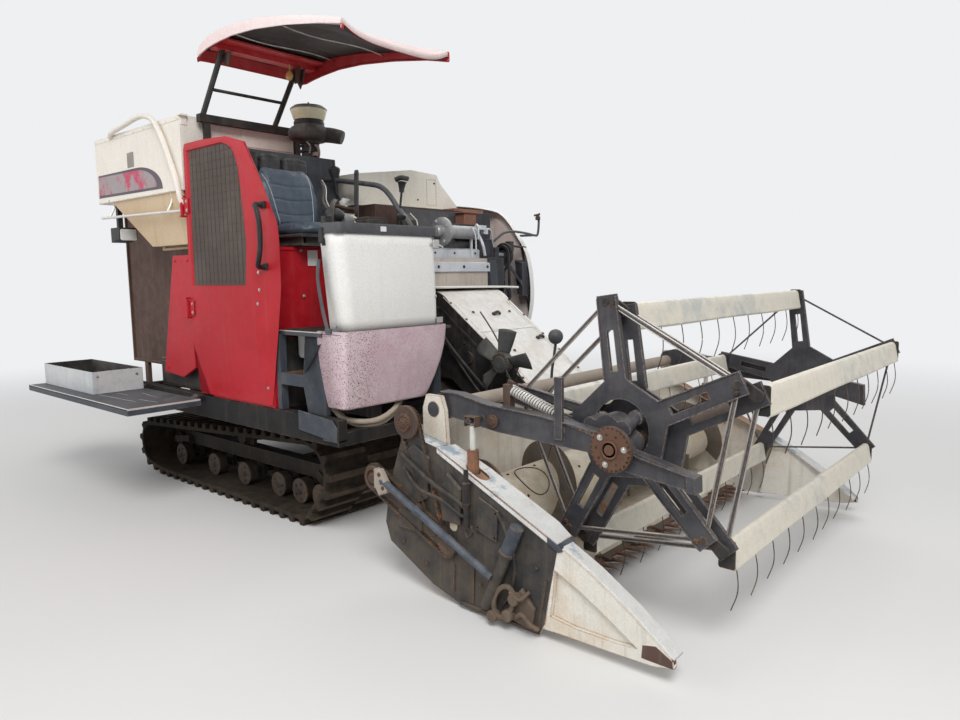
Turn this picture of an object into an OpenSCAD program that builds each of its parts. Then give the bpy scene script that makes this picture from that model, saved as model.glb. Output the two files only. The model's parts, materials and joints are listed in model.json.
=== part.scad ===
// Tracked full-feed combine harvester, parked with its cutting table down.
// Build frame: X forward, Y to the machine's left, Z up, millimetres.
// x = 0 is where the track leaves the ground in front, y = 0 lies midway between the tracks.

/* [Tracks] */
// Distance between the middles of the two tracks
track_centres = 1214; // [1000:2:1400]
// Width of one track shoe
track_width = 500; // [300:5:600]
// Distance along the belt from one lug to the next
lug_pitch = 90; // [60:1:140]
// Height of a lug above the belt
lug_height = 28; // [15:1:45]
// Thickness of the belt
belt_thick = 22; // [12:1:40]

/* [Cutting table] */
// Outer face of the right side plate
table_right = 1016; // [900:1:1200]
// Outer face of the left side plate
table_left = 1082; // [900:1:1200]
// Reach of the divider tips ahead of the track's contact
tip_reach = 2050; // [1800:5:2300]
// Radius of the auger's drum
drum_r = 130; // [90:1:160]
// Radius of the auger's flights
flight_r = 215; // [180:1:230]
// Advance of a flight in one turn
flight_pitch = 420; // [200:5:500]

/* [Reel] */
// Radius of the circle of bat pins
reel_r = 440; // [350:1:480]
// Number of bats
bat_count = 5; // [4:1:6]
// Length of a tine below its bat's pin
tine_drop = 200; // [90:1:205]

/* [Body] */
// Height of the operator's floor
floor_z = 1000; // [850:5:1150]
// Outer face of the body on the operator's side
body_right = 1000; // [900:5:1100]
// Height of the thresher's top deck
thresher_top = 1650; // [1500:5:1800]
// Rear end of the thresher
thresher_rear = 2750; // [2400:10:3000]
// Width of the fold-down platform
deck_width = 390; // [300:1:500]

/* [Hidden] */
$fn = 48;
fit = 0.1;              // running clearance of a pin in its bore
wheel_gap = 1;          // clearance between a wheel and the belt
track_y = track_centres / 2;
tread = lug_height + belt_thick;
// Wheels inside a track: x, z, radius out to the lug tips, counterclockwise seen from the right
track_wheels = [[-60, 118, 118], [0, 285, 190], [-1690, 190, 172], [-1540, 118, 118]];
roller_xs = [-60, -240, -440, -790, -1130, -1540];
carrier_x = -880;
sprocket_at = [0, 285];
idler_at = [-1690, 190];
roller_z = 118;

rail_y0 = 290;
rail_y1 = 345;
rail_z0 = 500;
rail_z1 = 580;
side_rail_z0 = 560;
side_rail_z1 = 620;

feed_at = [60, 1000];   // feeder's upper shaft, x and z
feed_y0 = 0;
feed_y1 = 530;
knife_pitch = 76;
knife_x = 1440;
auger_at = [1155, 315];
auger_y0 = -945;
auger_y1 = 1010;
reel_at = [1789, 690.5];
reel_shift = [-49, 33]; // eccentric centre from the reel's shaft
reel_pivot = [1000, 735];
reel_phase = 97.7;
star_y = -754;
star_far_y = 979;
ecc_y = -800;
star_t = 12;
shaft_r = 30;
pin_r = 14;
ecc_pin_r = 12;
ecc_disc_r = 105;
arm_y0 = -920;
arm_y1 = -880;
far_arm_y0 = 1002;
far_arm_y1 = 1034;
door_pivot = [-795, -1012];
deck_pivot = [-1006, 615];
lid_pivot = [625, 1662];
lift_base = [190, 455];
lift_eye = [610, 300];
lift_y = 120;
reel_lift_x = 1225;
fan_at = [670, 812];
reel_lift_ys = [-978, table_left - 30];

shift_x = 294.8;
shift_y = 110.2;

red = [0.75, 0.10, 0.12];
cream = [0.90, 0.86, 0.76];
grey = [0.33, 0.36, 0.40];
dark = [0.12, 0.12, 0.13];
steel = [0.55, 0.53, 0.50];
rust = [0.42, 0.25, 0.18];

// Basic shapes
module box(x0, x1, y0, y1, z0, z1) translate([x0, y0, z0]) cube([x1 - x0, y1 - y0, z1 - z0]);
// A flat outline given in x and z, thick from y0 to y1
module side(pts, y0, y1) translate([0, y1, 0]) rotate([90, 0, 0]) linear_extrude(y1 - y0) polygon(pts);
// A flat outline given in y and z, thick from x0 to x1
module face(pts, x0, x1) translate([x0, 0, 0]) rotate([90, 0, 90]) linear_extrude(x1 - x0) polygon(pts);
// A flat outline given in x and y, thick from z0 to z1
module plan(pts, z0, z1) translate([0, 0, z0]) linear_extrude(z1 - z0) polygon(pts);
module rod_y(x, z, y0, y1, r) translate([x, y0, z]) rotate([-90, 0, 0]) cylinder(r = r, h = y1 - y0);
module rod_x(y, z, x0, x1, r) translate([x0, y, z]) rotate([0, 90, 0]) cylinder(r = r, h = x1 - x0);
module rod_z(x, y, z0, z1, r) translate([x, y, z0]) cylinder(r = r, h = z1 - z0);
// A round bar between two points
module bar(a, b, r) {
    d = b - a;
    translate(a) rotate([0, acos(d[2] / norm(d)), atan2(d[1], d[0])]) cylinder(r = r, h = norm(d));
}
// Round bars through a list of points, with balls at the bends
module pipe(pts, r) {
    for (i = [0:len(pts) - 2]) bar(pts[i], pts[i + 1], r);
    for (i = [1:1:len(pts) - 2]) translate(pts[i]) sphere(r = r * 1.05);
}
// A flat bar in a plane of constant y between two x, z points
module strap(a, b, w, y0, y1) {
    n = [-(b - a)[1], (b - a)[0]] * w / 2 / norm(b - a);
    side([a + n, a - n, b - n, b + n], y0, y1);
}
// An outline moved inwards by d, for points listed counterclockwise
function unit(v) = v / norm(v);
function inward(p, i, d) = let (n = len(p), a = unit(p[i] - p[(i + n - 1) % n]), b = unit(p[(i + 1) % n] - p[i]),
    na = [-a[1], a[0]], nb = [-b[1], b[0]]) p[i] + (na + nb) * d / (1 + na * nb);
function inset(p, d) = [for (i = [0:len(p) - 1]) inward(p, i, d)];
function arc(c, r, a0, a1, n) = [for (i = [0:n]) c + r * [cos(a0 + (a1 - a0) * i / n), sin(a0 + (a1 - a0) * i / n)]];

// Track outline: arcs round the wheels joined by tangents
function way(a, b) = let (d = [b[0] - a[0], b[1] - a[1]]) atan2(d[1], d[0]) - acos((a[2] - b[2]) / norm(d));
function turn(a, b) = b < a ? b + 360 : b;
function loop(w, cut, n) = [for (i = [0:len(w) - 1]) let (p = w[(i + len(w) - 1) % len(w)], c = w[i],
    q = w[(i + 1) % len(w)], a0 = way(p, c), a1 = turn(a0, way(c, q)))
    each arc([c[0], c[1]], c[2] - cut, a0, a1, max(1, ceil((a1 - a0) / 180 * n)))];
function lengths(p, i = 0, s = 0) = i > len(p) ? [] : concat([s],
    lengths(p, i + 1, s + norm(p[(i + 1) % len(p)] - p[i % len(p)])));
function find(l, s, i = 0) = (i + 2 >= len(l) || l[i + 1] > s) ? i : find(l, s, i + 1);
function along(p, l, s, h) = let (t = (s + l[len(p)]) % l[len(p)], i = find(l, t), a = p[i % len(p)],
    b = p[(i + 1) % len(p)], u = unit(b - a)) a + u * (t - l[i]) + [u[1], -u[0]] * h;
belt = loop(track_wheels, lug_height, 12);
belt_at = lengths(belt);
lug_count = round(belt_at[len(belt)] / lug_pitch);
lug_step = belt_at[len(belt)] / lug_count;
function lugged(phase) = [for (k = [0:lug_count - 1]) each [for (c = [[-24, 0], [-14, 1], [14, 1], [24, 0]])
    along(belt, belt_at, (k + phase) * lug_step + c[0], c[1] * lug_height)]];

// Root body: running gear
module track(s) {
    color(dark) for (half = [0, 1]) {
        y0 = s * track_y - track_width / 2 + half * track_width / 2;
        difference() {
            side(lugged(half / 2), y0, y0 + track_width / 2);
            side(loop(track_wheels, tread, 12), y0 - 1, y0 + track_width / 2 + 1);
        }
    }
}

module track_frame(s) {
    side([[-1560, 175], [-150, 175], [-150, 255], [-1560, 255]], s * track_y - 40, s * track_y + 40);
    for (x = roller_xs) if (x < -100) strap([x, roller_z - 30], [x, 176], 50, s * track_y - 15, s * track_y + 15);
    for (e = [-1, 1]) {
        strap([-190, 205], [roller_xs[0], roller_z], 50, s * track_y + e * 42.5 - 7.5, s * track_y + e * 42.5 + 7.5);
        strap([-1545, 212], [idler_at[0] - 25, idler_at[1]], 38, s * track_y + e * 72.5 - 7.5,
            s * track_y + e * 72.5 + 7.5);
    }
    box(-1560, -1530, s * track_y - 80, s * track_y + 80, 192, 230);
    rod_y(idler_at[0], idler_at[1], s * track_y - 80, s * track_y + 80, 20);
    for (x = roller_xs) rod_y(x, roller_z, s * track_y - 70, s * track_y + 70, 18);
    box(carrier_x - 20, carrier_x + 20, s * track_y - 12, s * track_y + 12, 250, 330);
    rod_y(carrier_x, 318, s * track_y - 40, s * track_y + 40, 12);
}

module track_frames() color(grey) {
    for (s = [-1, 1]) track_frame(s);
    for (x = [-1250, -420]) box(x - 30, x + 30, -track_y + 40, track_y - 40, 190, 250);
    for (x = [-1250, -420], s = [-1, 1]) box(x - 30, x + 30, s * 317.5 - 27.5, s * 317.5 + 27.5, 250, rail_z0);
}

module track_wheels() color(rust) for (s = [-1, 1]) {
    for (x = roller_xs, e = [-1, 1]) rod_y(x, roller_z, s * track_y + e * 95 - 25, s * track_y + e * 95 + 25, 67);
    for (e = [-1, 1]) rod_y(carrier_x, 318, s * track_y + e * 60 - 20, s * track_y + e * 60 + 20, 44);
    difference() {
        union() {
            rod_y(idler_at[0], idler_at[1], s * track_y - 30, s * track_y + 30, 121);
            rod_y(idler_at[0], idler_at[1], s * track_y - 60, s * track_y + 60, 42);
        }
        rod_y(idler_at[0], idler_at[1], s * track_y - 61, s * track_y + 61, 20 + fit);
    }
    difference() {
        rod_y(sprocket_at[0], sprocket_at[1], s * track_y - 30, s * track_y + 30, 138);
        for (a = [0:30:359]) rod_y(sprocket_at[0] + 150 * cos(a), sprocket_at[1] + 150 * sin(a),
            s * track_y - 31, s * track_y + 31, 22);
    }
}

hinge_gap = 12;          // from a platform's pin to its edge
deck_hinges = [-1990, -1420, -790];
lid_hinges = [-2200, -1300, -420];
door_hinges = [1050, 1590];
outriggers = [-1900, -1300, -600, -200];
module chassis() color(grey) {
    for (s = [-1, 1]) box(-1950, s < 0 ? 430 : 150, s * 317.5 - 27.5, s * 317.5 + 27.5, rail_z0, rail_z1);
    for (x = [-1900, -1300, -620]) box(x - 30, x + 30, -rail_y0, rail_y0, rail_z0, rail_z1);
    box(150, 210, -rail_y0, rail_y1, rail_z0, rail_z1);
    for (x = concat(outriggers, [405])) box(x - 25, x + 25, -930, -rail_y1, rail_z0, side_rail_z0);
    box(-2100, 430, -980, -930, rail_z0, side_rail_z1);
    for (x = [-1300, -300]) {
        box(x - 25, x + 25, rail_y1, 1000, rail_z0, side_rail_z0);
        box(x - 25, x + 25, 960, 1000, side_rail_z0, side_rail_z1);
    }
    difference() {
        box(-2080, -1930, -60, 60, 520, 560);
        rod_z(-2035, 0, 519, 561, 14);
    }
    for (e = [-1, 1]) box(lift_base[0] - 25, lift_base[0] + 15, lift_y + e * 32 - 5, lift_y + e * 32 + 5, 435, rail_z0);
    rod_y(lift_base[0], lift_base[1], lift_y - 37, lift_y + 37, 14);
    for (x = deck_hinges) {
        for (d = [-14, 44]) box(x + d, x + d + 10, deck_pivot[0] - 5, -980, 600, side_rail_z1);
        rod_x(deck_pivot[0], deck_pivot[1], x - 14, x + 54, 5);
    }
}

module transmission() color(dark) {
    side([[-135, 380], [-60, 330], [70, 330], [150, 420], [150, 600], [60, 640], [-135, 640]], -200, 200);
    for (s = [-1, 1]) {
        side([[-80, 250], [-40, 200], [40, 200], [80, 250], [80, 560], [-80, 560]],
            s * 242.5 - 42.5, s * 242.5 + 42.5);
        rod_y(sprocket_at[0], sprocket_at[1], s < 0 ? -track_y + 30 : 285, s < 0 ? -285 : track_y - 30, 40);
    }
}

// Root body: engine side
module engine() color(dark) {
    box(-650, -150, -820, -380, 640, 1150);
    for (x = [-600, -200]) box(x - 20, x + 20, -800, -400, side_rail_z0, 640);
    box(-600, -200, -700, -560, 1150, 1190);
    rod_x(-600, 800, -150, -110, 90);
}

module radiator() color(dark) {
    box(-730, -255, -940, -890, 900, 1870);
    for (x = [-590, -270]) box(x - 15, x + 15, -940, -925, side_rail_z1, 900);
}

// Outlines of the engine side in x and z, counterclockwise: the tall radiator part beside the seat,
// and the part behind and under the seat
tower_rear = -775;
function tall(z) = [[-62, z], [-48, 1400], [-48, 1560], [-130, 1730], [-225, 1885], [-375, 1920],
    [tower_rear, 1920], [tower_rear, 900], [-640, z]];
function low(z) = [[-62, z], [-48, 1400], [-430, 1400], [-460, 1920], [tower_rear, 1920], [tower_rear, 900], [-640, z]];
module engine_cover() color(red) {
    difference() {
        union() {
            side(tall(side_rail_z1), -972, -880);
            side(low(side_rail_z1), -881, -245);
        }
        side(inset(tall(590), 5), -973, -885);
        side(inset(low(590), 6), -886, -251);
    }
    for (z = door_hinges) {
        for (d = [-12, 92]) {
            box(-805, -790, -1022, -962, z + d, z + d + 10);
            box(-791, tower_rear, -972, -962, z + d, z + d + 10);
        }
        rod_z(door_pivot[0], door_pivot[1], z - 12, z + 102, 4.5);
    }
}

module lower_panels() color(red) {
    difference() {
        side([[-1080, 740], [-960, 700], [-880, 740], [-812, 960], [-812, 1380], [-905, 1380]], -982, -960);
        side([[-1070, 750], [-970, 712], [-890, 750], [-822, 965], [-822, 1370], [-895, 1370]], -978, -950);
    }
    box(-1000, -960, -960, -940, side_rail_z1, 800);
    difference() {
        tub([262, 460, -991, -296], [300, 438, -985, -430], 1010, 660);
        tub([200, 454, -985, -200], [200, 430, -979, -200], 1020, 640);
    }
    for (y = [-800, -450]) box(430, 454, y, y + 30, 985, floor_z);
}
// A tapered block between two rectangles, each x0, x1, y0, y1
module tub(top, foot, z1, z0) {
    function ring(q, z) = [[q[0], q[2], z], [q[1], q[2], z], [q[1], q[3], z], [q[0], q[3], z]];
    polyhedron(points = concat(ring(foot, z0), ring(top, z1)), faces = [[0, 1, 2, 3], [7, 6, 5, 4], [1, 0, 4, 5],
        [2, 1, 5, 6], [3, 2, 6, 7], [0, 3, 7, 4]]);
}

module operator_floor() color(grey) {
    box(-46, 430, -950, -245, 985, floor_z);
    side([[340, side_rail_z1], [430, side_rail_z1], [400, 985], [350, 985]], -970, -930);
    box(-40, -10, -970, -930, side_rail_z1, 985);
    box(-10, 345, -970, -800, 785, 800);
    box(-10, 345, -970, -955, 745, 785);
    box(370, 400, -345, -295, rail_z1, 985);
    box(-40, -10, -345, -295, rail_z1, 985);
}

module reserve_tank() color(cream) side([[-35, 870], [-20, 858], [150, 858], [165, 870], [165, 985], [-35, 985]], -850, -640);

module control_column() color(cream) difference() {
    plan(concat([[300, -330], [300, -930]], arc([393, -895], 35, -90, 0, 5), arc([393, -365], 35, 0, 90, 5)),
        floor_z, 1450);
    plan([[290, -350], [290, -910], [390, -910], [415, -890], [415, -370], [390, -350]], floor_z - 1, 1440);
}

// Rim round the instruments with a switch lever, and the console beside the seat with its levers and rail
module controls() color(dark) {
    difference() {
        box(285, 430, -940, -320, 1450, 1490);
        box(300, 415, -925, -335, 1462, 1491);
    }
    face([[-860, 1462], [-640, 1462], [-640, 1478], [-860, 1478]], 320, 400);
    rod_z(357, -500, 1462, 1530, 12);
    translate([357, -500, 1545]) sphere(r = 20);
    box(-400, 40, -440, -255, 1400, 1560);
    for (l = [[-250, -400, 1840, -30], [-60, -400, 1790, 20], [20, -330, 1740, 60]]) {
        bar([l[0], l[1], 1550], [l[0] + l[3], l[1], l[2]], 9);
        translate([l[0] + l[3], l[1], l[2]]) sphere(r = 22);
    }
    pipe([[-350, -275, 1550], [-360, -275, 1790], [20, -275, 1725], [40, -275, 1450]], 13);
}

module seat() color(grey) {
    side(concat([[-370, 1400], [60, 1400]], arc([40, 1480], 30, -20, 90, 4), [[-300, 1500], [-330, 1480]]), -860, -500);
    side([[-330, 1500], [-255, 1500], [-225, 1600], [-300, 1800], [-345, 1800], [-370, 1600]], -850, -510);
    side([[-447, 1700], [-390, 1700], [-390, 1850], [-456, 1860]], -820, -520);
}

module air_intake() color(dark) translate([-560, -345, 0]) {
    rod_z(0, 0, 1920, 2000, 55);
    rod_z(0, 0, 2000, 2090, 110);
    translate([0, 0, 2045]) rotate_extrude() translate([105, 0]) circle(r = 28);
    rotate_extrude() polygon([[0, 2090], [70, 2090], [95, 2120], [100, 2190], [60, 2215], [0, 2215]]);
}

module canopy_frame() color(dark) {
    box(-770, -730, -915, -255, 2080, 2120);
    for (y = [-870, -300]) box(-765, -735, y - 15, y + 15, 1920, 2080);
    bar([-750, -890, 2110], [-660, -790, 2493], 15, $fn = 8);
    bar([-750, -450, 2110], [-660, -320, 2492], 15, $fn = 8);
    bar([-717, -852, 2250], [-717, -406, 2250], 9, $fn = 8);
}

// Canopy section along the machine: x, height of the top, depth of the rim
canopy_line = [[-800, 2455, 45], [-775, 2495, 90], [-700, 2522, 105], [-600, 2530, 105], [-450, 2528, 98],
    [-250, 2505, 88], [0, 2460, 74], [250, 2405, 62], [412, 2365, 55]];
canopy_sheet = 24;
canopy_rim = 16;
function topped(d) = [for (i = [len(canopy_line) - 1:-1:0]) [canopy_line[i][0], canopy_line[i][1] - d]];
function rimmed(d) = [for (q = canopy_line) [q[0], q[1] - q[2] - d]];
function cropped(p) = [for (q = p) [min(max(q[0], canopy_line[0][0] + canopy_rim),
    canopy_line[len(canopy_line) - 1][0] - canopy_rim), q[1]]];
module canopy() color(red) difference() {
    side(concat(topped(0), rimmed(0)), -875, -200);
    side(concat(cropped(topped(canopy_sheet)), cropped(rimmed(1))), -875 + canopy_rim, -200 - canopy_rim);
}

// Root body: grain tank and thresher
hopper_rear = -1880;
hopper_front = -790;
module grain_hopper() color(cream) {
    difference() {
        box(hopper_rear, hopper_front, -body_right, -248, 1722, 2110);
        box(hopper_rear + 6, hopper_front - 6, -body_right + 6, -254, 1728, 2104);
    }
    for (x = [-1860, -1300, -880]) face([[-235, 1480], [-235, 1645], [-280, 1722],
        [-400, 1722], [-300, 1560]], x, x + 50);
    polyhedron(points = [[-1700, -990, 1722], [-812, -990, 1722], [-812, -420, 1722], [-1700, -420, 1722],
        [-1270, -960, 1440], [-830, -960, 1440], [-830, -760, 1440], [-1270, -760, 1440]],
        faces = [[3, 2, 1, 0], [4, 5, 6, 7], [0, 1, 5, 4], [1, 2, 6, 5], [2, 3, 7, 6], [3, 0, 4, 7]]);
    bar([-1260, -900, 1425], [-840, -900, 1425], 8);
    for (x = [-1255, -845]) bar([x, -900, 1425], [x, -900, 1445], 8);
}

module work_lamp() color(dark) {
    side([[-1760, 1480], [-1640, 1500], [-1640, 1570], [-1760, 1570]], -990, -880);
    box(-1765, -1735, -950, -920, 1570, 1722);
}

module grain_elevator() color(grey) {
    rod_z(-1500, -320, rail_z1, 1722, 70);
    box(-1560, -1440, -330, -235, 1500, 1640);
}

module thresher() color(cream) {
    side([[-140, rail_z1], [-140, thresher_top], [-thresher_rear + 120, thresher_top], [-thresher_rear, 1520],
        [-thresher_rear, 980], [-2250, rail_z1]], -235, 750);
    side([[-140, 1185], [95, 1185], [100, 1350], [40, 1350], [-40, 1440], [-140, 1640]], -40, 580);
    side([[-thresher_rear, 1500], [-thresher_rear, 1000], [-thresher_rear - 60, 900],
        [-thresher_rear - 60, 1380]], -200, 720);
    for (x = lid_hinges) {
        for (d = [-12, 52]) box(x + d, x + d + 10, 618, 640, thresher_top, 1668);
        rod_x(lid_pivot[0], lid_pivot[1], x - 12, x + 62, 5);
    }
}

module front_pipe() color(steel) {
    difference() {
        union() {
            rod_y(70, 1500, -90, 345, 38);
            rod_y(70, 1500, 72, 88, 80);
        }
        rod_y(70, 1500, -91, 346, 32);
    }
    for (y = [-30, 320]) box(62, 78, y, y + 10, 1350, 1466);
}

cover_arch = [[0, 1090], [-30, 1360], [-130, 1530], [-250, 1660], [-400, 1715], [-720, 1740], [-1650, 1740],
    [-1700, 1690], [-1700, 760], [-1600, 620], [-260, 620], [-60, 820]];
module left_cover() color(cream) difference() {
    side(cover_arch, 750, 1050);
    side(inset(cover_arch, 6), 749, 1044);
}

module mirror_stay() color(dark) {
    pipe([[-300, 1070, 1500], [-250, 1100, 1530], [-60, 1180, 1650]], 8);
    box(-330, -290, 1050, 1080, 1480, 1520);
}

module feeder_mount() color(grey) {
    for (y = [-70, 570]) side([[-140, 860], [-140, 1180], [120, 1180], [130, 950], [60, 860]], y, y + 20);
    rod_y(feed_at[0], feed_at[1], -70, 590, 30);
}

// Engine door
door_out = [[-70, 634], [42, 1200], [42, 1486], [-100, 1740], [-205, 1900], [-367, 1945], [-766, 1956], [-778, 1500],
    [-784, 890], [-663, 640]];
screen_out = [[-226, 1210], [-197, 1420], [-249, 1830], [-300, 1890], [-390, 1919], [-738, 1926], [-758, 1220]];
module engine_door() color(red) {
    difference() {
        side(door_out, -body_right, -978);
        side(inset(door_out, 5), -995, -977);
        side(screen_out, -body_right - 1, -976);
    }
    for (z = door_hinges) difference() {
        union() {
            rod_z(door_pivot[0], door_pivot[1], z, z + 90, 9);
            box(door_pivot[0], -740, -1008, -body_right, z, z + 90);
        }
        rod_z(door_pivot[0], door_pivot[1], z - 1, z + 91, 4.5 + fit);
    }
}

module door_screen() color(dark) side(inset(screen_out, -8), -995, -989);

module door_handle() color(dark) pipe([[-60, -1000, 1580], [-60, -1040, 1580], [-20, -1045, 1540], [-20, -1045, 1340],
    [-60, -1040, 1300], [-60, -1000, 1300]], 11);

// Thresher lid
lid_out = [[-236, 1656], [610, 1656], [600, 1700], [450, 1830], [420, 1880], [200, 1890], [-236, 1830]];
module thresher_cover() color(cream) {
    difference() {
        face(lid_out, -2300, -300);
        face(inset([for (v = lid_out) v[1] < 1660 ? [v[0], 1600] : v], 5), -2295, -305);
    }
    for (x = lid_hinges) difference() {
        union() {
            rod_x(lid_pivot[0], lid_pivot[1], x, x + 50, 9);
            box(x, x + 50, 606, lid_pivot[0], 1657, 1665);
        }
        rod_x(lid_pivot[0], lid_pivot[1], x - 1, x + 51, 5 + fit);
    }
}

// Fold-down platform
module deck() color(grey) {
    inner = deck_pivot[0] - hinge_gap;
    difference() {
        box(-2110, -700, inner - deck_width, inner, 572, 606);
        box(-2102, -708, inner - deck_width + 8, inner - 8, 571, 600);
    }
    for (x = [-1760, -1300, -900]) box(x, x + 40, inner - deck_width + 5, inner - 5, 574, 600);
    for (x = deck_hinges) difference() {
        union() {
            rod_x(deck_pivot[0], deck_pivot[1], x, x + 40, 9);
            box(x, x + 40, inner - 12, deck_pivot[0], 606, 614);
        }
        rod_x(deck_pivot[0], deck_pivot[1], x - 1, x + 41, 5 + fit);
    }
}

module deck_tray() color(cream) difference() {
    box(-2085, -1345, -1320, -1034, 606, 735);
    box(-2080, -1350, -1315, -1039, 611, 736);
}

// Cutting table
feeder_out = [[-57, 865], [533, 425], [800, 140], [915, 140], [915, 612], [730, 690], [140, 1130]];
module feeder_house() color(cream) {
    for (e = [-1, 1]) side([[560, 400], [650, 320], [630, 270], [590, 270]], lift_y + e * 32 - 5, lift_y + e * 32 + 5);
    feeder_shell();
    strap([620, 700], fan_at, 50, -16, 0);
    rod_y(fan_at[0], fan_at[1], -105, -16, 12);
}
module feeder_shell() difference() {
    union() {
        side(feeder_out, feed_y0, feed_y1);
        rod_y(feed_at[0], feed_at[1], feed_y0, feed_y1, 165);
    }
    rod_y(feed_at[0], feed_at[1], feed_y0 - 1, feed_y1 + 1, 30 + fit);
    side([[560, 440], [810, 160], [915, 160], [915, 590], [720, 668], [240, 1020], [200, 740]], feed_y0 + 6, feed_y1 - 6);
}

trough_r = flight_r + 20;
trough_in = arc(auger_at, trough_r, 180, 285, 10);
trough_out = arc(auger_at, trough_r + 5, 285, 180, 10);
plate_out = [[1555, 14], [1575, 60], [1632, 352], [1070, 605], [890, 640], [800, 400], [772, 250], [800, 175], [950, 100],
    [1040, 55], [1190, 14]];
module table_side(s) {
    y = s < 0 ? -table_right : table_left;
    in = -s;
    ya = min(y, y + in * 6);
    difference() {
        side(plate_out, ya, ya + 6);
        rod_y(auger_at[0], auger_at[1], ya - 1, ya + 7, 20 + fit);
    }
    yb = min(y, y + in * 62);
    difference() {
        side([[1632, 352], [1070, 605], [890, 640], [890, 634], [1069, 599], [1629, 346]], yb, yb + 62);
        rod_z(reel_lift_x, s < 0 ? reel_lift_ys[0] : reel_lift_ys[1], 400, 800, 27);
    }
}
module table_frame() color(cream) {
    for (s = [-1, 1]) table_side(s);
    yr = -table_right + 6;
    yl = table_left - 6;
    difference() {
        side(concat([[920, 660]], trough_in, [[knife_x - 40, 44], [knife_x - 40, 38]], trough_out, [[915, 660]]), yr, yl);
        box(900, 930, feed_y0 + 6, feed_y1 - 6, 160, 590);
    }
    difference() {
        box(890, 915, yr, yl, 616, 650);
        box(880, 914.9, -20, 550, 600, 700);
    }
    for (s = [-1, 1]) {
        y0 = s < 0 ? -954 : 1050;
        difference() {
            side([[940, 590], [1070, 590], [1060, 735], [1040, 790], [960, 790], [940, 735]], y0, y0 + 20);
            rod_y(reel_pivot[0], reel_pivot[1], y0 - 1, y0 + 21, 30 + fit);
        }
    }
    for (y = reel_lift_ys) {
        difference() {
            rod_z(reel_lift_x, y, 380, 612, 22);
            rod_z(reel_lift_x, y, 440, 613, 12 + fit);
        }
        box(reel_lift_x - 20, reel_lift_x + 20, y < 0 ? yr : y, y < 0 ? y : yl, 360, 380);
    }
}

module divider(y0, y1, ty) {
    polyhedron(points = [[1575, y0, 60], [1575, y1, 60], [1632, y1, 352], [1632, y0, 352],
        [tip_reach, ty - 12, 62], [tip_reach, ty + 12, 62], [tip_reach, ty + 12, 90], [tip_reach, ty - 12, 90]],
        faces = [[0, 1, 2, 3], [5, 4, 7, 6], [1, 0, 4, 5], [2, 1, 5, 6], [3, 2, 6, 7], [0, 3, 7, 4]]);
}
module dividers() color(cream) {
    divider(-table_right, -940, -996);
    divider(1000, table_left, 1070);
}

module knife() color(rust) {
    n = floor(1900 / knife_pitch);
    side([[knife_x - 40, 38], [knife_x, 44], [knife_x, 54], [knife_x - 40, 50]], -930, -930 + n * knife_pitch);
    plan(concat([[knife_x, -930 + n * knife_pitch], [knife_x, -930]], [for (i = [0:n - 1]) each
        [[knife_x + 5, -930 + i * knife_pitch], [knife_x + 60, -930 + (i + 0.5) * knife_pitch],
        [knife_x + 5, -930 + (i + 1) * knife_pitch]]]), 48, 53);
}

// Crank, rod and rocker tube of the knife, two sprockets and the chain wheel of the reel, on the right side plate
crank_at = [733, 431];
rocker_top = [1475, 380];
rocker_foot = [1335, 60];
module table_drives() color(rust) {
    rod_y(crank_at[0], crank_at[1], -1040, -1022, 52);
    rod_y(crank_at[0], crank_at[1], -1022, 0, 18);
    strap(crank_at, crank_at + [79, 3], 64, -1046, -1040);
    rod_y(800, 440, -1060, -1046, 20);
    bar([800, -1059, 440], [1377, -1059, 187], 13);
    bar([rocker_top[0], -1040, rocker_top[1]], [rocker_foot[0], -1040, rocker_foot[1]], 22);
    for (c = [rocker_top, rocker_foot]) rod_y(c[0], c[1], -1040, -table_right, 16);
    for (c = [[1130, 240, 42], [1072, 300, 24]]) {
        rod_y(c[0], c[1], -1036, -1024, c[2]);
        rod_y(c[0], c[1], -1024, -table_right, c[2] / 2);
    }
    // Chain wheel on a post that stands on the side's top edge
    side([[905, 637.1], [950, 628.4], [950, 700], [905, 700]], -table_right, -1010);
    rod_y(930, 688, -1034, -table_right, 24);
    rod_y(930, 688, -1030, -1018, 56);
}

module cooling_fan() color(dark) {
    difference() {
        rod_y(fan_at[0], fan_at[1], -150, -100, 54);
        rod_y(fan_at[0], fan_at[1], -120, -99, 12 + fit);
    }
    for (a = [10:72:359]) translate([fan_at[0], -125, fan_at[1]]) rotate([0, a, 0]) rotate([0, 0, 30])
        translate([0, 0, 112]) cube([78, 6, 125], center = true);
}

// A screw flight as rings of four points: rim and root, back and front
module flight(y0, length, hand) {
    n = ceil(length / flight_pitch * 24);
    root = drum_r + 0.3;
    pts = [for (i = [0:n]) let (a = hand * 360 * length / flight_pitch * i / n, y = y0 + length * i / n)
        each [for (c = [[root, 0], [flight_r, 0], [flight_r, 8], [root, 8]])
            [auger_at[0] + c[0] * cos(a), y + c[1], auger_at[1] + c[0] * sin(a)]]];
    ring = [for (i = [0:n - 1], j = [0:3]) let (k = (j + 1) % 4, a = 4 * i + j, b = 4 * i + k)
        each [[a, a + 4, b + 4], [a, b + 4, b]]];
    faces = concat(ring, [[0, 1, 2], [0, 2, 3], [4 * n + 2, 4 * n + 1, 4 * n], [4 * n + 3, 4 * n + 2, 4 * n]]);
    polyhedron(points = pts, faces = hand > 0 ? faces : [for (f = faces) [f[2], f[1], f[0]]], convexity = 10);
}
module auger() color(cream) {
    rod_y(auger_at[0], auger_at[1], -table_right, table_left, 20);
    rod_y(auger_at[0], auger_at[1], auger_y0, auger_y1, drum_r);
    flight(auger_y0 + 5, -auger_y0 - 5, 1);
    flight(530, auger_y1 - 545, -1);
    for (i = [0:5]) translate([auger_at[0], 60 + i * 80, auger_at[1]]) rotate([0, i * 60, 0])
        cylinder(r = 7, h = drum_r + 75);
}

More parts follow.
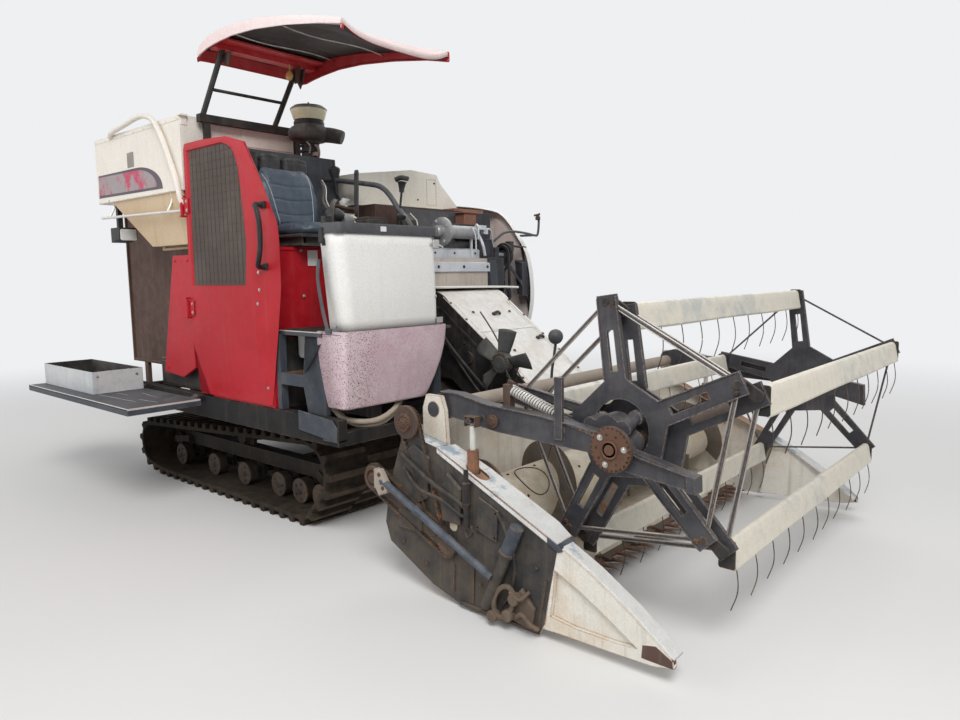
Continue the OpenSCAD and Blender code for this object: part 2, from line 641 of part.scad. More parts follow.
// Reel
function spoke(k) = reel_phase - 360 / bat_count * (k - 1);
function pin_at(k) = reel_at + reel_r * [cos(spoke(k)), sin(spoke(k))];
ecc_at = reel_at + reel_shift;

arm_out = [[960, 712], [1015, 712], [1291, 677], [1705, 660], [1830, 640], [2071, 579], [2065, 682], [1830, 722],
    [1709, 737], [1496, 762], [1244, 776], [1103, 802], [1040, 803], [975, 785], [955, 745]];
rollers = [40, 160, 280];
roller_r = 26;
function roller_at(a) = ecc_at + (ecc_disc_r - roller_r) * [cos(a), sin(a)];
module reel_arm(y0, y1) {
    difference() {
        side(arm_out, y0, y1);
        rod_y(reel_at[0], reel_at[1], y0 - 1, y1 + 1, shaft_r + fit);
    }
}
module reel_arms() color(grey) {
    reel_arm(arm_y0, arm_y1);
    reel_arm(far_arm_y0, far_arm_y1);
    rod_y(reel_pivot[0], reel_pivot[1], -956, 1072, 30);
    rod_y(reel_lift_x - 6, 722, reel_lift_ys[0] - 20, arm_y0, 12);
    rod_y(reel_lift_x - 6, 722, far_arm_y1, reel_lift_ys[1] + 20, 12);
    box(1557, 1590, arm_y0 - 12, arm_y0, 690, 905);
    // Spring of the reel's chain between its bracket and the middle of the reel
    box(1290, 1322, arm_y1, -852, 745, 850);
    bar([1310, -866, 836], [1520, -866, 765], 13);
    bar([1510, -866, 768], [1700, -866, 716], 6);
    // Bracket round the shaft with the rollers that the eccentric ring turns on
    difference() {
        union() {
            rod_y(ecc_at[0], ecc_at[1], arm_y1, -812, 66);
            rod_y(reel_at[0], reel_at[1], arm_y1, -812, 46);
            for (a = rollers) {
                strap(ecc_at, roller_at(a), 44, arm_y1, -812);
                rod_y(roller_at(a)[0], roller_at(a)[1], arm_y1, -812, 22);
                rod_y(roller_at(a)[0], roller_at(a)[1], -812, -785, roller_r);
            }
        }
        rod_y(reel_at[0], reel_at[1], arm_y1 - 1, -784, shaft_r + fit);
    }
}

star_web = 201;    // centre to the corners of the web, which lie on the spokes
spoke_w = 92;
spoke_tip = 76;
slot_from = 200;
slot_to = 340;
slot_w = 26;
spoke_end = 20.6;  // a spoke's reach past its pin
module star(at, y0, bore_r, hole_r) {
    difference() {
        union() {
            side([for (k = [bat_count:-1:1]) at + star_web * [cos(spoke(k)), sin(spoke(k))]], y0, y0 + star_t);
            for (k = [1:bat_count]) {
                u = [cos(spoke(k)), sin(spoke(k))];
                q = at + reel_r * [cos(spoke(k + 1)), sin(spoke(k + 1))];
                n = [-u[1], u[0]] / 2;
                end = at + (reel_r + spoke_end) * u;
                side([at + spoke_w * n, at - spoke_w * n, end - spoke_tip * n, end + spoke_tip * n], y0, y0 + star_t);
                strap(at + reel_r * u, q, 8, y0 + 2, y0 + star_t - 2);
            }
        }
        rod_y(at[0], at[1], y0 - 1, y0 + star_t + 1, bore_r);
        for (k = [1:bat_count]) {
            p = at + reel_r * [cos(spoke(k)), sin(spoke(k))];
            rod_y(p[0], p[1], y0 - 1, y0 + star_t + 1, hole_r);
            u = [cos(spoke(k)), sin(spoke(k))];
            strap(at + slot_from * u, at + slot_to * u, slot_w, y0 - 1, y0 + star_t + 1);
        }
    }
}
module reel_star() color(grey) {
    star(reel_at, star_y, shaft_r + 0.05, pin_r + fit);
    star(reel_at, star_far_y, shaft_r + 0.05, pin_r + fit);
}
module reel_shaft() color(rust) {
    rod_y(reel_at[0], reel_at[1], -935, 1060, shaft_r);
    rod_y(reel_at[0], reel_at[1], -950, -935, 76);
    rod_y(reel_at[0], reel_at[1], -958, -950, 28);
}
module eccentric_star() color(grey) star(ecc_at, ecc_y, ecc_disc_r + 0.3, ecc_pin_r + fit);

module reel_bat(k) color(cream) {
    p = pin_at(k);
    e = p + reel_shift;
    rod_y(p[0], p[1], -765, star_far_y + star_t + 2, pin_r);
    rod_y(e[0], e[1], ecc_y - 4, -765, ecc_pin_r);
    strap(p, e, 34, -776, -764);
    rod_y(p[0], p[1], -776, -764, 20);
    rod_y(e[0], e[1], -776, -764, 18);
    side([[p[0] - 6, p[1] + 20], [p[0] - 6, p[1] - 30], [p[0] + 20, p[1] - 75], [p[0] + 26, p[1] - 72],
        [p[0] + 2, p[1] - 30], [p[0] + 2, p[1] + 20]], -735, 970);
    for (i = [0:10]) bar([p[0] + 20, -700 + i * 165, p[1] - 70], [p[0] + 8, -700 + i * 165, p[1] - tine_drop], 3);
}

// Lift cylinders
lift_dir = unit(lift_eye - lift_base);
function lift_pt(s) = [lift_base[0] + s * lift_dir[0], lift_y, lift_base[1] + s * lift_dir[1]];
module lift_barrel() color(dark) difference() {
    union() {
        bar(lift_pt(30), lift_pt(380), 32);
        rod_y(lift_base[0], lift_base[1], lift_y - 25, lift_y + 25, 34);
    }
    bar(lift_pt(40), lift_pt(381), 20 + fit);
    rod_y(lift_base[0], lift_base[1], lift_y - 40, lift_y + 40, 14 + fit);
}
module lift_rod() color(steel) {
    bar(lift_pt(50), lift_pt(425), 20);
    rod_y(lift_eye[0], lift_eye[1], lift_y - 20, lift_y + 20, 28);
}
module reel_rods() color(steel) for (y = reel_lift_ys) rod_z(reel_lift_x, y, 450, 702, 12);

module in_frame() translate([shift_x, shift_y, 0]) children();

in_frame() track(1);  // track_left
in_frame() track(-1);  // track_right
in_frame() track_frames();
in_frame() track_wheels();
in_frame() chassis();
in_frame() transmission();
in_frame() engine();
in_frame() radiator();
in_frame() engine_cover();
in_frame() lower_panels();
in_frame() operator_floor();
in_frame() reserve_tank();
in_frame() control_column();
in_frame() controls();
in_frame() seat();
in_frame() air_intake();
in_frame() canopy_frame();
in_frame() canopy();
in_frame() grain_hopper();
in_frame() work_lamp();
in_frame() grain_elevator();
in_frame() thresher();
in_frame() front_pipe();
in_frame() left_cover();
in_frame() mirror_stay();
in_frame() feeder_mount();
in_frame() engine_door();
in_frame() door_screen();
in_frame() door_handle();
in_frame() thresher_cover();
in_frame() deck();
in_frame() deck_tray();
in_frame() feeder_house();
in_frame() table_frame();
in_frame() dividers();
in_frame() knife();
in_frame() table_drives();
in_frame() cooling_fan();
in_frame() auger();
in_frame() reel_arms();
in_frame() reel_shaft();
in_frame() reel_star();
in_frame() eccentric_star();
in_frame() reel_bat(1);  // reel_bat_1
in_frame() reel_bat(2);  // reel_bat_2
in_frame() reel_bat(3);  // reel_bat_3
in_frame() reel_bat(4);  // reel_bat_4
in_frame() reel_bat(5);  // reel_bat_5
in_frame() lift_barrel();
in_frame() lift_rod();
in_frame() reel_rods();
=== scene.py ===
import json
import math

import bmesh
import bpy
import numpy as np
from mathutils import Matrix, Vector

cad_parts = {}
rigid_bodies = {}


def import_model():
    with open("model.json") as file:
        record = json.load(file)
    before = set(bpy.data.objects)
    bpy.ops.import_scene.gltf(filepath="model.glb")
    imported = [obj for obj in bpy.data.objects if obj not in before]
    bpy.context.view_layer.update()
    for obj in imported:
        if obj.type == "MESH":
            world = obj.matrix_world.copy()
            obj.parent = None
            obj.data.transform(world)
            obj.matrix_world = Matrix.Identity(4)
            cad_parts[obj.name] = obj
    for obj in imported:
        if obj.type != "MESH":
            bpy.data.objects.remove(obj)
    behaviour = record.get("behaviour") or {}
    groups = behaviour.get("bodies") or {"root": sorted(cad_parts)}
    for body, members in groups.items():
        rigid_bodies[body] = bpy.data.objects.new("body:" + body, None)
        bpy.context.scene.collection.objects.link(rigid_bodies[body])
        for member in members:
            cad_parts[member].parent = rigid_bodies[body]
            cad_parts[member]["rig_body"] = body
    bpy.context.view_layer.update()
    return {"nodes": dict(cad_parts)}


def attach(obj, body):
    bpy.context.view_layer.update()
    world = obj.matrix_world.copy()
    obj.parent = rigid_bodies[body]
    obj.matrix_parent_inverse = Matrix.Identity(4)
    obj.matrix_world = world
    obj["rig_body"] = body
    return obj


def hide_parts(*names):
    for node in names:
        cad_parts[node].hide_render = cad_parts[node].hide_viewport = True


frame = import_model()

scene = bpy.context.scene
# Directions: the machine's front, its left and right, and up
toFront, toLeft, toRight, toTop = (1, 0, 0), (0, 1, 0), (0, -1, 0), (0, 0, 1)

# Lengths below are millimetres in the machine's build frame: x forward from where the tracks leave
# the ground, y to the left from midway between the tracks, z up. frameShift moves them to the part's frame.
frameShift = np.array([294.8, 110.2, 0.0])

# Camera at the photograph's standing point
cameraSetup = {"place": (3.26677, -2.82242, 1.25494), "yaw": 41.128, "pitch": 6.740, "roll": -0.763, "lens": 27.18}


# Looks along (-sin yaw cos pitch, cos yaw cos pitch, -sin pitch), rolled about that line.
def addCamera():
    yaw, pitch, roll = (math.radians(cameraSetup[k]) for k in ("yaw", "pitch", "roll"))
    ahead = Vector((-math.sin(yaw) * math.cos(pitch), math.cos(yaw) * math.cos(pitch), -math.sin(pitch)))
    right = Vector((math.cos(yaw), math.sin(yaw), 0))
    up = right.cross(ahead)
    across = math.cos(roll) * right + math.sin(roll) * up
    upward = -math.sin(roll) * right + math.cos(roll) * up
    camera = bpy.data.objects.new("camera", bpy.data.cameras.new("camera"))
    camera.data.sensor_width = 36
    camera.data.lens = cameraSetup["lens"]
    camera.data.clip_end = 200
    turn = Matrix((across, upward, -ahead)).transposed().to_4x4()
    camera.matrix_world = Matrix.Translation(cameraSetup["place"]) @ turn
    scene.collection.objects.link(camera)
    scene.camera = camera


# Three large soft lamps: place, aim, size in metres, power in watts
lampTable = [
    ((5.0, -4.5, 6.5), (0.2, 0, 0.8), 3.5, 470),
    ((-4.0, -6.0, 4.0), (-0.5, 0, 1.0), 5.0, 150),
    ((-1.0, 6.0, 5.5), (0, 0, 1.0), 6.0, 180),
]
skyColour = (0.86, 0.87, 0.89, 1)
skyLight = 0.42
floorColour = (0.74, 0.73, 0.71, 1)


# A shader node with its settings, and its inputs, linked where a value is a socket.
def addNode(tree, kind, inputs=None, **settings):
    made = tree.nodes.new(kind)
    for key, value in settings.items():
        setattr(made, key, value)
    for key, value in (inputs or {}).items():
        if isinstance(value, bpy.types.NodeSocket):
            tree.links.new(value, made.inputs[key])
        else:
            made.inputs[key].default_value = value
    return made


# 1 for rays from the camera, from gloss and through glass.
def seenRay(tree):
    ray = addNode(tree, "ShaderNodeLightPath")
    gloss = addNode(tree, "ShaderNodeMath", {0: ray.outputs["Is Camera Ray"], 1: ray.outputs["Is Glossy Ray"]},
            operation="MAXIMUM")
    return addNode(tree, "ShaderNodeMath", {0: gloss.outputs[0], 1: ray.outputs["Is Transmission Ray"]},
            operation="MAXIMUM").outputs[0]


# Lamps, a sky that lights faintly and is seen pale, and a floor that fades into it between 3.2 and 9 m.
def addStudio():
    for place, aim, size, power in lampTable:
        lamp = bpy.data.lights.new("lamp", "AREA")
        lamp.energy, lamp.size = power, size
        holder = bpy.data.objects.new("lamp", lamp)
        holder.location = place
        holder.rotation_euler = (Vector(aim) - Vector(place)).to_track_quat("-Z", "Y").to_euler()
        scene.collection.objects.link(holder)
    world = bpy.data.worlds.new("studio")
    scene.world = world
    world.use_nodes = True
    tree = world.node_tree
    tree.nodes.clear()
    light = addNode(tree, "ShaderNodeBackground", {"Color": (0.93, 0.95, 1.0, 1), "Strength": skyLight})
    seen = addNode(tree, "ShaderNodeBackground", {"Color": skyColour, "Strength": 1.0})
    mix = addNode(tree, "ShaderNodeMixShader", {0: seenRay(tree), 1: light.outputs[0], 2: seen.outputs[0]})
    addNode(tree, "ShaderNodeOutputWorld", {"Surface": mix.outputs[0]})
    scene.view_settings.view_transform = "Standard"
    mesh = bpy.data.meshes.new("floor")
    half = 40.0
    mesh.from_pydata([(-half, -half, 0), (half, -half, 0), (half, half, 0), (-half, half, 0)], [], [(0, 1, 2, 3)])
    floor = bpy.data.objects.new("floor", mesh)
    scene.collection.objects.link(floor)
    stone = bpy.data.materials.new("floorFinish")
    stone.use_nodes = True
    shader = stone.node_tree.nodes["Principled BSDF"]
    shader.inputs["Base Color"].default_value = floorColour
    shader.inputs["Roughness"].default_value = 0.9
    # Away from the machine the floor turns into the pale background
    tree = stone.node_tree
    where = addNode(tree, "ShaderNodeTexCoord").outputs["Object"]
    far = addNode(tree, "ShaderNodeVectorMath", {0: where}, operation="LENGTH").outputs["Value"]
    share = addNode(tree, "ShaderNodeMapRange", {0: far, 1: 3.2, 2: 9.0}, interpolation_type="SMOOTHSTEP").outputs[0]
    share = addNode(tree, "ShaderNodeMath", {0: share, 1: seenRay(tree)}, operation="MULTIPLY").outputs[0]
    pale = addNode(tree, "ShaderNodeEmission", {"Color": skyColour, "Strength": 1.0})
    mix = addNode(tree, "ShaderNodeMixShader", {0: share, 1: shader.outputs[0], 2: pale.outputs[0]})
    tree.links.new(mix.outputs[0], tree.nodes["Material Output"].inputs["Surface"])
    mesh.materials.append(stone)


# Shapes: each gives (points, faces) in build millimetres

def toFrame(points):
    return (np.asarray(points, float).reshape(-1, 3) + frameShift) / 1000


# Points stacked one after another, face numbers raised by the points before them.
def joined(parts):
    points, faces, start = [], [], 0
    for p, f in parts:
        points.append(np.asarray(p, float).reshape(-1, 3))
        faces += [tuple(int(i) + start for i in face) for face in f]
        start += len(points[-1])
    return np.vstack(points), faces


# Quads (i,j) (i+1,j) (i+1,j+1) (i,j+1) of a grid whose point (i,j) has number i*nv+j.
def gridFaces(nu, nv, closeU=False, closeV=False):
    i, j = np.meshgrid(np.arange(nu if closeU else nu - 1), np.arange(nv if closeV else nv - 1), indexing="ij")
    a, b = (i % nu) * nv, ((i + 1) % nu) * nv
    c, d = j % nv, (j + 1) % nv
    return np.stack([a + c, b + c, b + d, a + d], -1).reshape(-1, 4).tolist()


# The surface P(u,v) given as an array of points, nu by nv.
def grid(points, closeU=False, closeV=False):
    points = np.asarray(points, float)
    return points.reshape(-1, 3), gridFaces(points.shape[0], points.shape[1], closeU, closeV)


# P(u,v) = path(u) + s(u) * (side(u) * profile_x(v) + rise(u) * profile_y(v)), where side is the path's direction
# crossed with up, and rise is side crossed with that direction.
def sweep(profile, path, up=toTop, closed=False, swell=None):
    path, profile = np.asarray(path, float), np.asarray(profile, float)
    if closed:
        ahead = np.roll(path, -1, 0) - np.roll(path, 1, 0)
    else:
        ahead = np.gradient(path, axis=0)
    ahead /= np.linalg.norm(ahead, axis=1)[:, None]
    side = np.cross(ahead, np.asarray(up, float))
    side /= np.linalg.norm(side, axis=1)[:, None]
    rise = np.cross(side, ahead)
    size = np.ones(len(path)) if swell is None else np.asarray(swell, float)
    points = path[:, None] + size[:, None, None] * (side[:, None] * profile[None, :, :1] + rise[:, None]
            * profile[None, :, 1:])
    n, m = len(path), len(profile)
    faces = [f[::-1] for f in gridFaces(n, m, closed, True)]
    if not closed:
        faces += [tuple(range(m)), tuple(range((n - 1) * m, n * m))[::-1]]
    return points.reshape(-1, 3), faces


# (r cos t, r sin t).
def circle(r, n=12):
    t = np.arange(n) * 2 * math.pi / n
    return np.stack([r * np.cos(t), r * np.sin(t)], 1)


# Catmull-Rom curve through the points, each span cut into equal parts of its parameter.
def smoothPath(points, each=6):
    p = np.asarray(points, float)
    p = np.vstack([2 * p[0] - p[1], p, 2 * p[-1] - p[-2]])
    t = np.linspace(0, 1, each, endpoint=False)[None, :, None]
    a, b, c, d = p[:-3, None], p[1:-2, None], p[2:-1, None], p[3:, None]
    curve = 0.5 * (2 * b + (c - a) * t + (2 * a - 5 * b + 4 * c - d) * t ** 2 + (3 * b - a - 3 * c + d) * t ** 3)
    return np.vstack([curve.reshape(-1, p.shape[1]), p[-2:-1]])


# A round bar of radius r along a smooth curve through the points.
def tube(points, r, n=10, smooth=True, up=toTop):
    path = smoothPath(points) if smooth and len(points) > 2 else np.asarray(points, float)
    return sweep(circle(r, n), path, up)


# P(t,v) = at + along * h(v) + r(v) * (e1 cos t + e2 sin t), for a profile of (r, h) from one pole to the other.
def turned(profile, at, along=toLeft, n=24):
    profile = np.asarray(profile, float)
    along = np.asarray(along, float) / np.linalg.norm(along)
    e1 = np.cross(along, (0.3, 0.2, 1.0) if abs(along[2]) < 0.9 else (1.0, 0, 0))
    e1 /= np.linalg.norm(e1)
    e2 = np.cross(along, e1)
    t = np.arange(n) * 2 * math.pi / n
    ring = np.cos(t)[:, None] * e1 + np.sin(t)[:, None] * e2
    points = np.asarray(at, float) + profile[None, :, 1:] * along + profile[None, :, :1] * ring[:, None]
    m = len(profile)
    faces = gridFaces(n, m, True, False)
    if profile[0, 0] > 1e-6:
        faces.append(tuple(np.arange(n) * m))
    if profile[-1, 0] > 1e-6:
        faces.append(tuple(np.arange(n)[::-1] * m + m - 1))
    return points.reshape(-1, 3), faces


# Each corner moved inwards by d along both of its sides' normals, for a loop listed counterclockwise.
def insetLoop(p, d):
    p = np.asarray(p, float)
    a, b = p - np.roll(p, 1, 0), np.roll(p, -1, 0) - p
    a /= np.linalg.norm(a, axis=1)[:, None]
    b /= np.linalg.norm(b, axis=1)[:, None]
    na, nb = np.stack([-a[:, 1], a[:, 0]], 1), np.stack([-b[:, 1], b[:, 0]], 1)
    return p + (na + nb) * d / (1 + (na * nb).sum(1))[:, None]


# An outline carried from low to high across its plane, with its edges cut back by edge.
def plate(outline, low, high, plane="xz", edge=2.0):
    p = np.asarray(outline, float)
    q, r = p, np.roll(p, -1, 0)
    if (q[:, 0] * r[:, 1] - q[:, 1] * r[:, 0]).sum() < 0:
        p = p[::-1]
    rings = [(insetLoop(p, edge), low), (p, low + edge), (p, high - edge), (insetLoop(p, edge), high)]
    order = {"xz": (0, 2, 1), "yz": (2, 0, 1), "xy": (0, 1, 2)}[plane]
    points = np.stack([np.column_stack([loop, np.full(len(p), h)])[:, list(order)] for loop, h in rings])
    n = len(p)
    faces = [f[::-1] for f in gridFaces(4, n, False, True)] + [tuple(range(n))[::-1], tuple(range(3 * n, 4 * n))]
    if plane == "xz":
        faces = [tuple(f)[::-1] for f in faces]
    return points.reshape(-1, 3), faces


# A box between two planes in each direction, its edges cut back.
def block(x0, x1, y0, y1, z0, z1, edge=2.0):
    return plate([(x0, z0), (x1, z0), (x1, z1), (x0, z1)], y0, y1, "xz", edge)


# A rectangle with corners of radius r, counterclockwise.
def rounded(x0, x1, z0, z1, r, n=5):
    t = np.linspace(0, math.pi / 2, n + 1)
    corners = [(x1 - r, z1 - r, 0), (x0 + r, z1 - r, 1), (x0 + r, z0 + r, 2), (x1 - r, z0 + r, 3)]
    return np.vstack([np.stack([cx + r * np.cos(t + k * math.pi / 2), cz + r * np.sin(t + k * math.pi / 2)], 1)
            for cx, cz, k in corners])


# Copies of a small part, made about the origin along +Z, at each place, turned to point along the given direction.
def scattered(part, places, along=None):
    p, faces = part
    p = np.asarray(p, float)
    if along is not None:
        turn = Vector(toTop).rotation_difference(Vector(along)).to_matrix()
        p = p @ np.array(turn).T
    places = np.asarray(places, float).reshape(-1, 3)
    points = (p[None] + places[:, None]).reshape(-1, 3)
    n = len(p)
    return points, [tuple(i + k * n for i in f) for k in range(len(places)) for f in faces]


# Washer, six-sided head and a crowned top, as rings (r, h) round the bolt's line.
def boltHead(size=8.0, tall=5.0):
    washer = turned([(0, 0), (size * 1.15, 0), (size * 1.15, 1.2), (0, 1.2)], (0, 0, 0), toTop, 12)
    head = turned([(0, 1), (size * 0.8, 1), (size * 0.8, tall * 0.85), (size * 0.68, tall), (0, tall)], (0, 0, 0),
            toTop, 6)
    return joined([washer, head])


# Puts shapes into one mesh, in metres in the part's frame, facing outwards, riding on its body.
def addPiece(name, parts, body, finish, soft=35, bevel=0.0, replaced=()):
    points, faces = joined(parts) if isinstance(parts, list) else parts
    mesh = bpy.data.meshes.new(name)
    mesh.from_pydata(toFrame(points).tolist(), [], [tuple(f) for f in faces])
    work = bmesh.new()
    work.from_mesh(mesh)
    bmesh.ops.remove_doubles(work, verts=work.verts, dist=2e-5)
    bmesh.ops.recalc_face_normals(work, faces=work.faces)
    work.to_mesh(mesh)
    work.free()
    piece = bpy.data.objects.new(name, mesh)
    scene.collection.objects.link(piece)
    finishPiece(piece, body, finish, soft, bevel)
    for node in replaced:
        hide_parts(node)
    return piece


# Smooth shading but for edges sharper than soft degrees, one finish, rounded edges, and the piece's body.
def finishPiece(piece, body, finish, soft, bevel):
    mesh = piece.data
    mesh.shade_smooth()
    mesh.set_sharp_from_angle(angle=math.radians(soft))
    mesh.materials.clear()
    mesh.materials.append(finishes[finish])
    if bevel > 0:
        cut = piece.modifiers.new("edges", "BEVEL")
        cut.width, cut.segments, cut.limit_method = bevel / 1000, 2, "ANGLE"
        cut.angle_limit = math.radians(38)
        cut.harden_normals = True
        cut.use_clamp_overlap = True
    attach(piece, body)


# The node's own mesh merged into whole faces, with its edges rounded.
def softCopy(node, finish, width=2.0, soft=32, reshaped=None):
    source = frame["nodes"][node]
    mesh = source.data.copy()
    mesh.name = node + "_skin"
    work = bmesh.new()
    work.from_mesh(mesh)
    bmesh.ops.remove_doubles(work, verts=work.verts, dist=1e-5)
    bmesh.ops.dissolve_limit(work, angle_limit=math.radians(0.6), verts=work.verts, edges=work.edges)
    work.to_mesh(mesh)
    work.free()
    if reshaped:
        at = np.array([v.co[:] for v in mesh.vertices])
        mesh.vertices.foreach_set("co", ((reshaped(at * 1000 - frameShift) + frameShift) / 1000).ravel())
    piece = bpy.data.objects.new(node + "_skin", mesh)
    scene.collection.objects.link(piece)
    finishPiece(piece, source["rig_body"], finish, soft, width)
    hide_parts(node)
    return piece


# Gives a further finish to the faces for which chosen(centres in mm, normals) holds.
def tinted(piece, finish, chosen):
    piece.data.materials.append(finishes[finish])
    faces = piece.data.polygons
    centre = np.array([f.center[:] for f in faces]) * 1000 - frameShift
    normal = np.array([f.normal[:] for f in faces])
    index = np.array([f.material_index for f in faces])
    index[chosen(centre, normal)] = len(piece.data.materials) - 1
    faces.foreach_set("material_index", index.astype(np.int32))


# Gives a sheet its thickness in mm: behind its faces for offset -1, half on each side for 0.
def thicken(piece, thick, offset=-1, inside=0, rim=0):
    wall = piece.modifiers.new("wall", "SOLIDIFY")
    wall.thickness, wall.offset = thick / 1000, offset
    wall.material_offset, wall.material_offset_rim = inside, rim


# Finishes. Every one reads Object coordinates, in metres.
dirtTone = (0.36, 0.30, 0.22, 1)
rustDark = (0.105, 0.042, 0.022, 1)
rustBright = (0.36, 0.15, 0.055, 1)


# Paint that turns to a second tone in wide patches (fading, and on the bats partly painted shade), darkens in
# run-off streaks, chips to rust in spots and on edges, and gathers dust where it faces up.
def weathered(name, base, faded, patchSpan=(0.42, 0.62), rust=0.0, dust=0.25, edge=0.0, edgeTone=None, streak=0.2,
        rough=(0.45, 0.7), metal=0.0, bump=0.25, size=1.0, speck=0.0, speckAt=None, gloss=0.25, lowDirt=0.0,
        dirt=None):
    made = bpy.data.materials.new(name)
    made.use_nodes = True
    tree = made.node_tree
    shader = tree.nodes["Principled BSDF"]
    where = addNode(tree, "ShaderNodeTexCoord").outputs["Object"]
    wide = addNode(tree, "ShaderNodeTexNoise", {"Vector": where, "Scale": 2.1 * size, "Detail": 6.0,
            "Roughness": 0.62}).outputs["Fac"]
    mid = addNode(tree, "ShaderNodeTexNoise", {"Vector": where, "Scale": 17.0 * size, "Detail": 9.0,
            "Roughness": 0.68}).outputs["Fac"]
    fine = addNode(tree, "ShaderNodeTexNoise", {"Vector": where, "Scale": 130.0 * size, "Detail": 4.0,
            "Roughness": 0.7}).outputs["Fac"]
    stretched = addNode(tree, "ShaderNodeMapping", {"Vector": where, "Scale": (26.0, 26.0, 1.6)}).outputs[0]
    runs = addNode(tree, "ShaderNodeTexNoise", {"Vector": stretched, "Scale": 1.0 * size, "Detail": 5.0,
            "Roughness": 0.6}).outputs["Fac"]

    def ranged(value, low, high, outLow=0.0, outHigh=1.0, smooth=True):
        return addNode(tree, "ShaderNodeMapRange", {0: value, 1: low, 2: high, 3: outLow, 4: outHigh},
                interpolation_type="SMOOTHSTEP" if smooth else "LINEAR").outputs[0]

    def maths(kind, a, b=0.0, c=0.0):
        return addNode(tree, "ShaderNodeMath", {0: a, 1: b, 2: c}, operation=kind).outputs[0]

    def mixed(share, a, b, kind="MIX"):
        made = addNode(tree, "ShaderNodeMix", {0: share, 6: a, 7: b}, data_type="RGBA", blend_type=kind,
                clamp_result=True)
        return made.outputs[2]

    patchAt = ranged(maths("MULTIPLY_ADD", mid, 0.35, maths("MULTIPLY", wide, 0.65)), *patchSpan)
    colour = mixed(patchAt, (*base, 1), (*faded, 1))
    toned = ranged(fine, 0.3, 0.7, 0.9, 1.08, False)
    colour = mixed(1.0, colour, addNode(tree, "ShaderNodeCombineColor", {0: toned, 1: toned, 2: toned}).outputs[0],
            "MULTIPLY")
    if streak > 0:
        stained = ranged(runs, 0.5, 0.78, 0.0, streak)
        colour = mixed(stained, colour, (0.20, 0.16, 0.12, 1))
    if speck > 0:
        spots = ranged(addNode(tree, "ShaderNodeTexNoise", {"Vector": where, "Scale": 170.0 * size,
                "Detail": 3.0}).outputs["Fac"], 0.66 - 0.1 * speck, 0.70 - 0.1 * speck)
        if speckAt:
            y = addNode(tree, "ShaderNodeSeparateXYZ", {0: where}).outputs[1]
            off = maths("ABSOLUTE", maths("SUBTRACT", y, speckAt[0]))
            spots = maths("MULTIPLY", spots, ranged(off, speckAt[1], speckAt[1] * 0.25, 0.3, 1.0))
        colour = mixed(maths("MULTIPLY", spots, 0.8), colour, (0.10, 0.07, 0.06, 1))
    geometry = addNode(tree, "ShaderNodeNewGeometry")
    rustAt = None
    if rust > 0 or edge > 0:
        level = maths("MULTIPLY_ADD", mid, 0.55, maths("MULTIPLY", wide, 0.45))
        if edge > 0:
            worn = addNode(tree, "ShaderNodeBevel", {"Radius": 0.006}, samples=4)
            dot = addNode(tree, "ShaderNodeVectorMath", {0: worn.outputs[0], 1: geometry.outputs["Normal"]},
                    operation="DOT_PRODUCT")
            rim = ranged(dot.outputs["Value"], 0.995, 0.86)
            level = maths("MULTIPLY_ADD", rim, edge * 0.4, level)
        spots = ranged(level, 0.70 - 0.26 * rust, 0.76 - 0.26 * rust)
        rustAt = spots
        tone = mixed(ranged(fine, 0.35, 0.65), rustDark, edgeTone or rustBright)
        colour = mixed(spots, colour, tone)
    upward = addNode(tree, "ShaderNodeSeparateXYZ", {0: geometry.outputs["Normal"]}).outputs[2]
    facing = ranged(upward, -0.1, 0.95, 0.25, 1.0)
    dusty = maths("MULTIPLY", maths("MULTIPLY", facing, ranged(mid, 0.36, 0.66, 0.25, 1.0)), dust)
    if lowDirt > 0:
        height = addNode(tree, "ShaderNodeSeparateXYZ", {0: where}).outputs[2]
        low = maths("MULTIPLY", ranged(height, 0.55, 0.0), ranged(mid, 0.3, 0.6, 0.3, 1.0))
        dusty = maths("MAXIMUM", dusty, maths("MULTIPLY", low, lowDirt))
    colour = mixed(dusty, colour, dirt or dirtTone)
    tree.links.new(colour, shader.inputs["Base Color"])
    roughness = maths("MULTIPLY_ADD", dusty, 0.3, ranged(mid, 0.3, 0.7, *rough))
    if rustAt is not None:
        roughness = maths("MULTIPLY_ADD", rustAt, 0.25, roughness)
    roughness = addNode(tree, "ShaderNodeClamp", {0: roughness, 1: 0.05, 2: 0.97}).outputs[0]
    tree.links.new(roughness, shader.inputs["Roughness"])
    if metal > 0:
        bare = maths("MULTIPLY", maths("SUBTRACT", 1.0, dusty), metal)
        if rustAt is not None:
            bare = maths("MULTIPLY", maths("SUBTRACT", 1.0, rustAt), bare)
        tree.links.new(bare, shader.inputs["Metallic"])
    height = maths("MULTIPLY_ADD", mid, 0.6, maths("MULTIPLY", fine, 0.25))
    if rustAt is not None:
        height = maths("MULTIPLY_ADD", rustAt, 0.35, height)
    relief = addNode(tree, "ShaderNodeBump", {"Height": height, "Strength": bump, "Distance": 0.004})
    tree.links.new(relief.outputs[0], shader.inputs["Normal"])
    shader.inputs["Specular IOR Level"].default_value = gloss
    return made


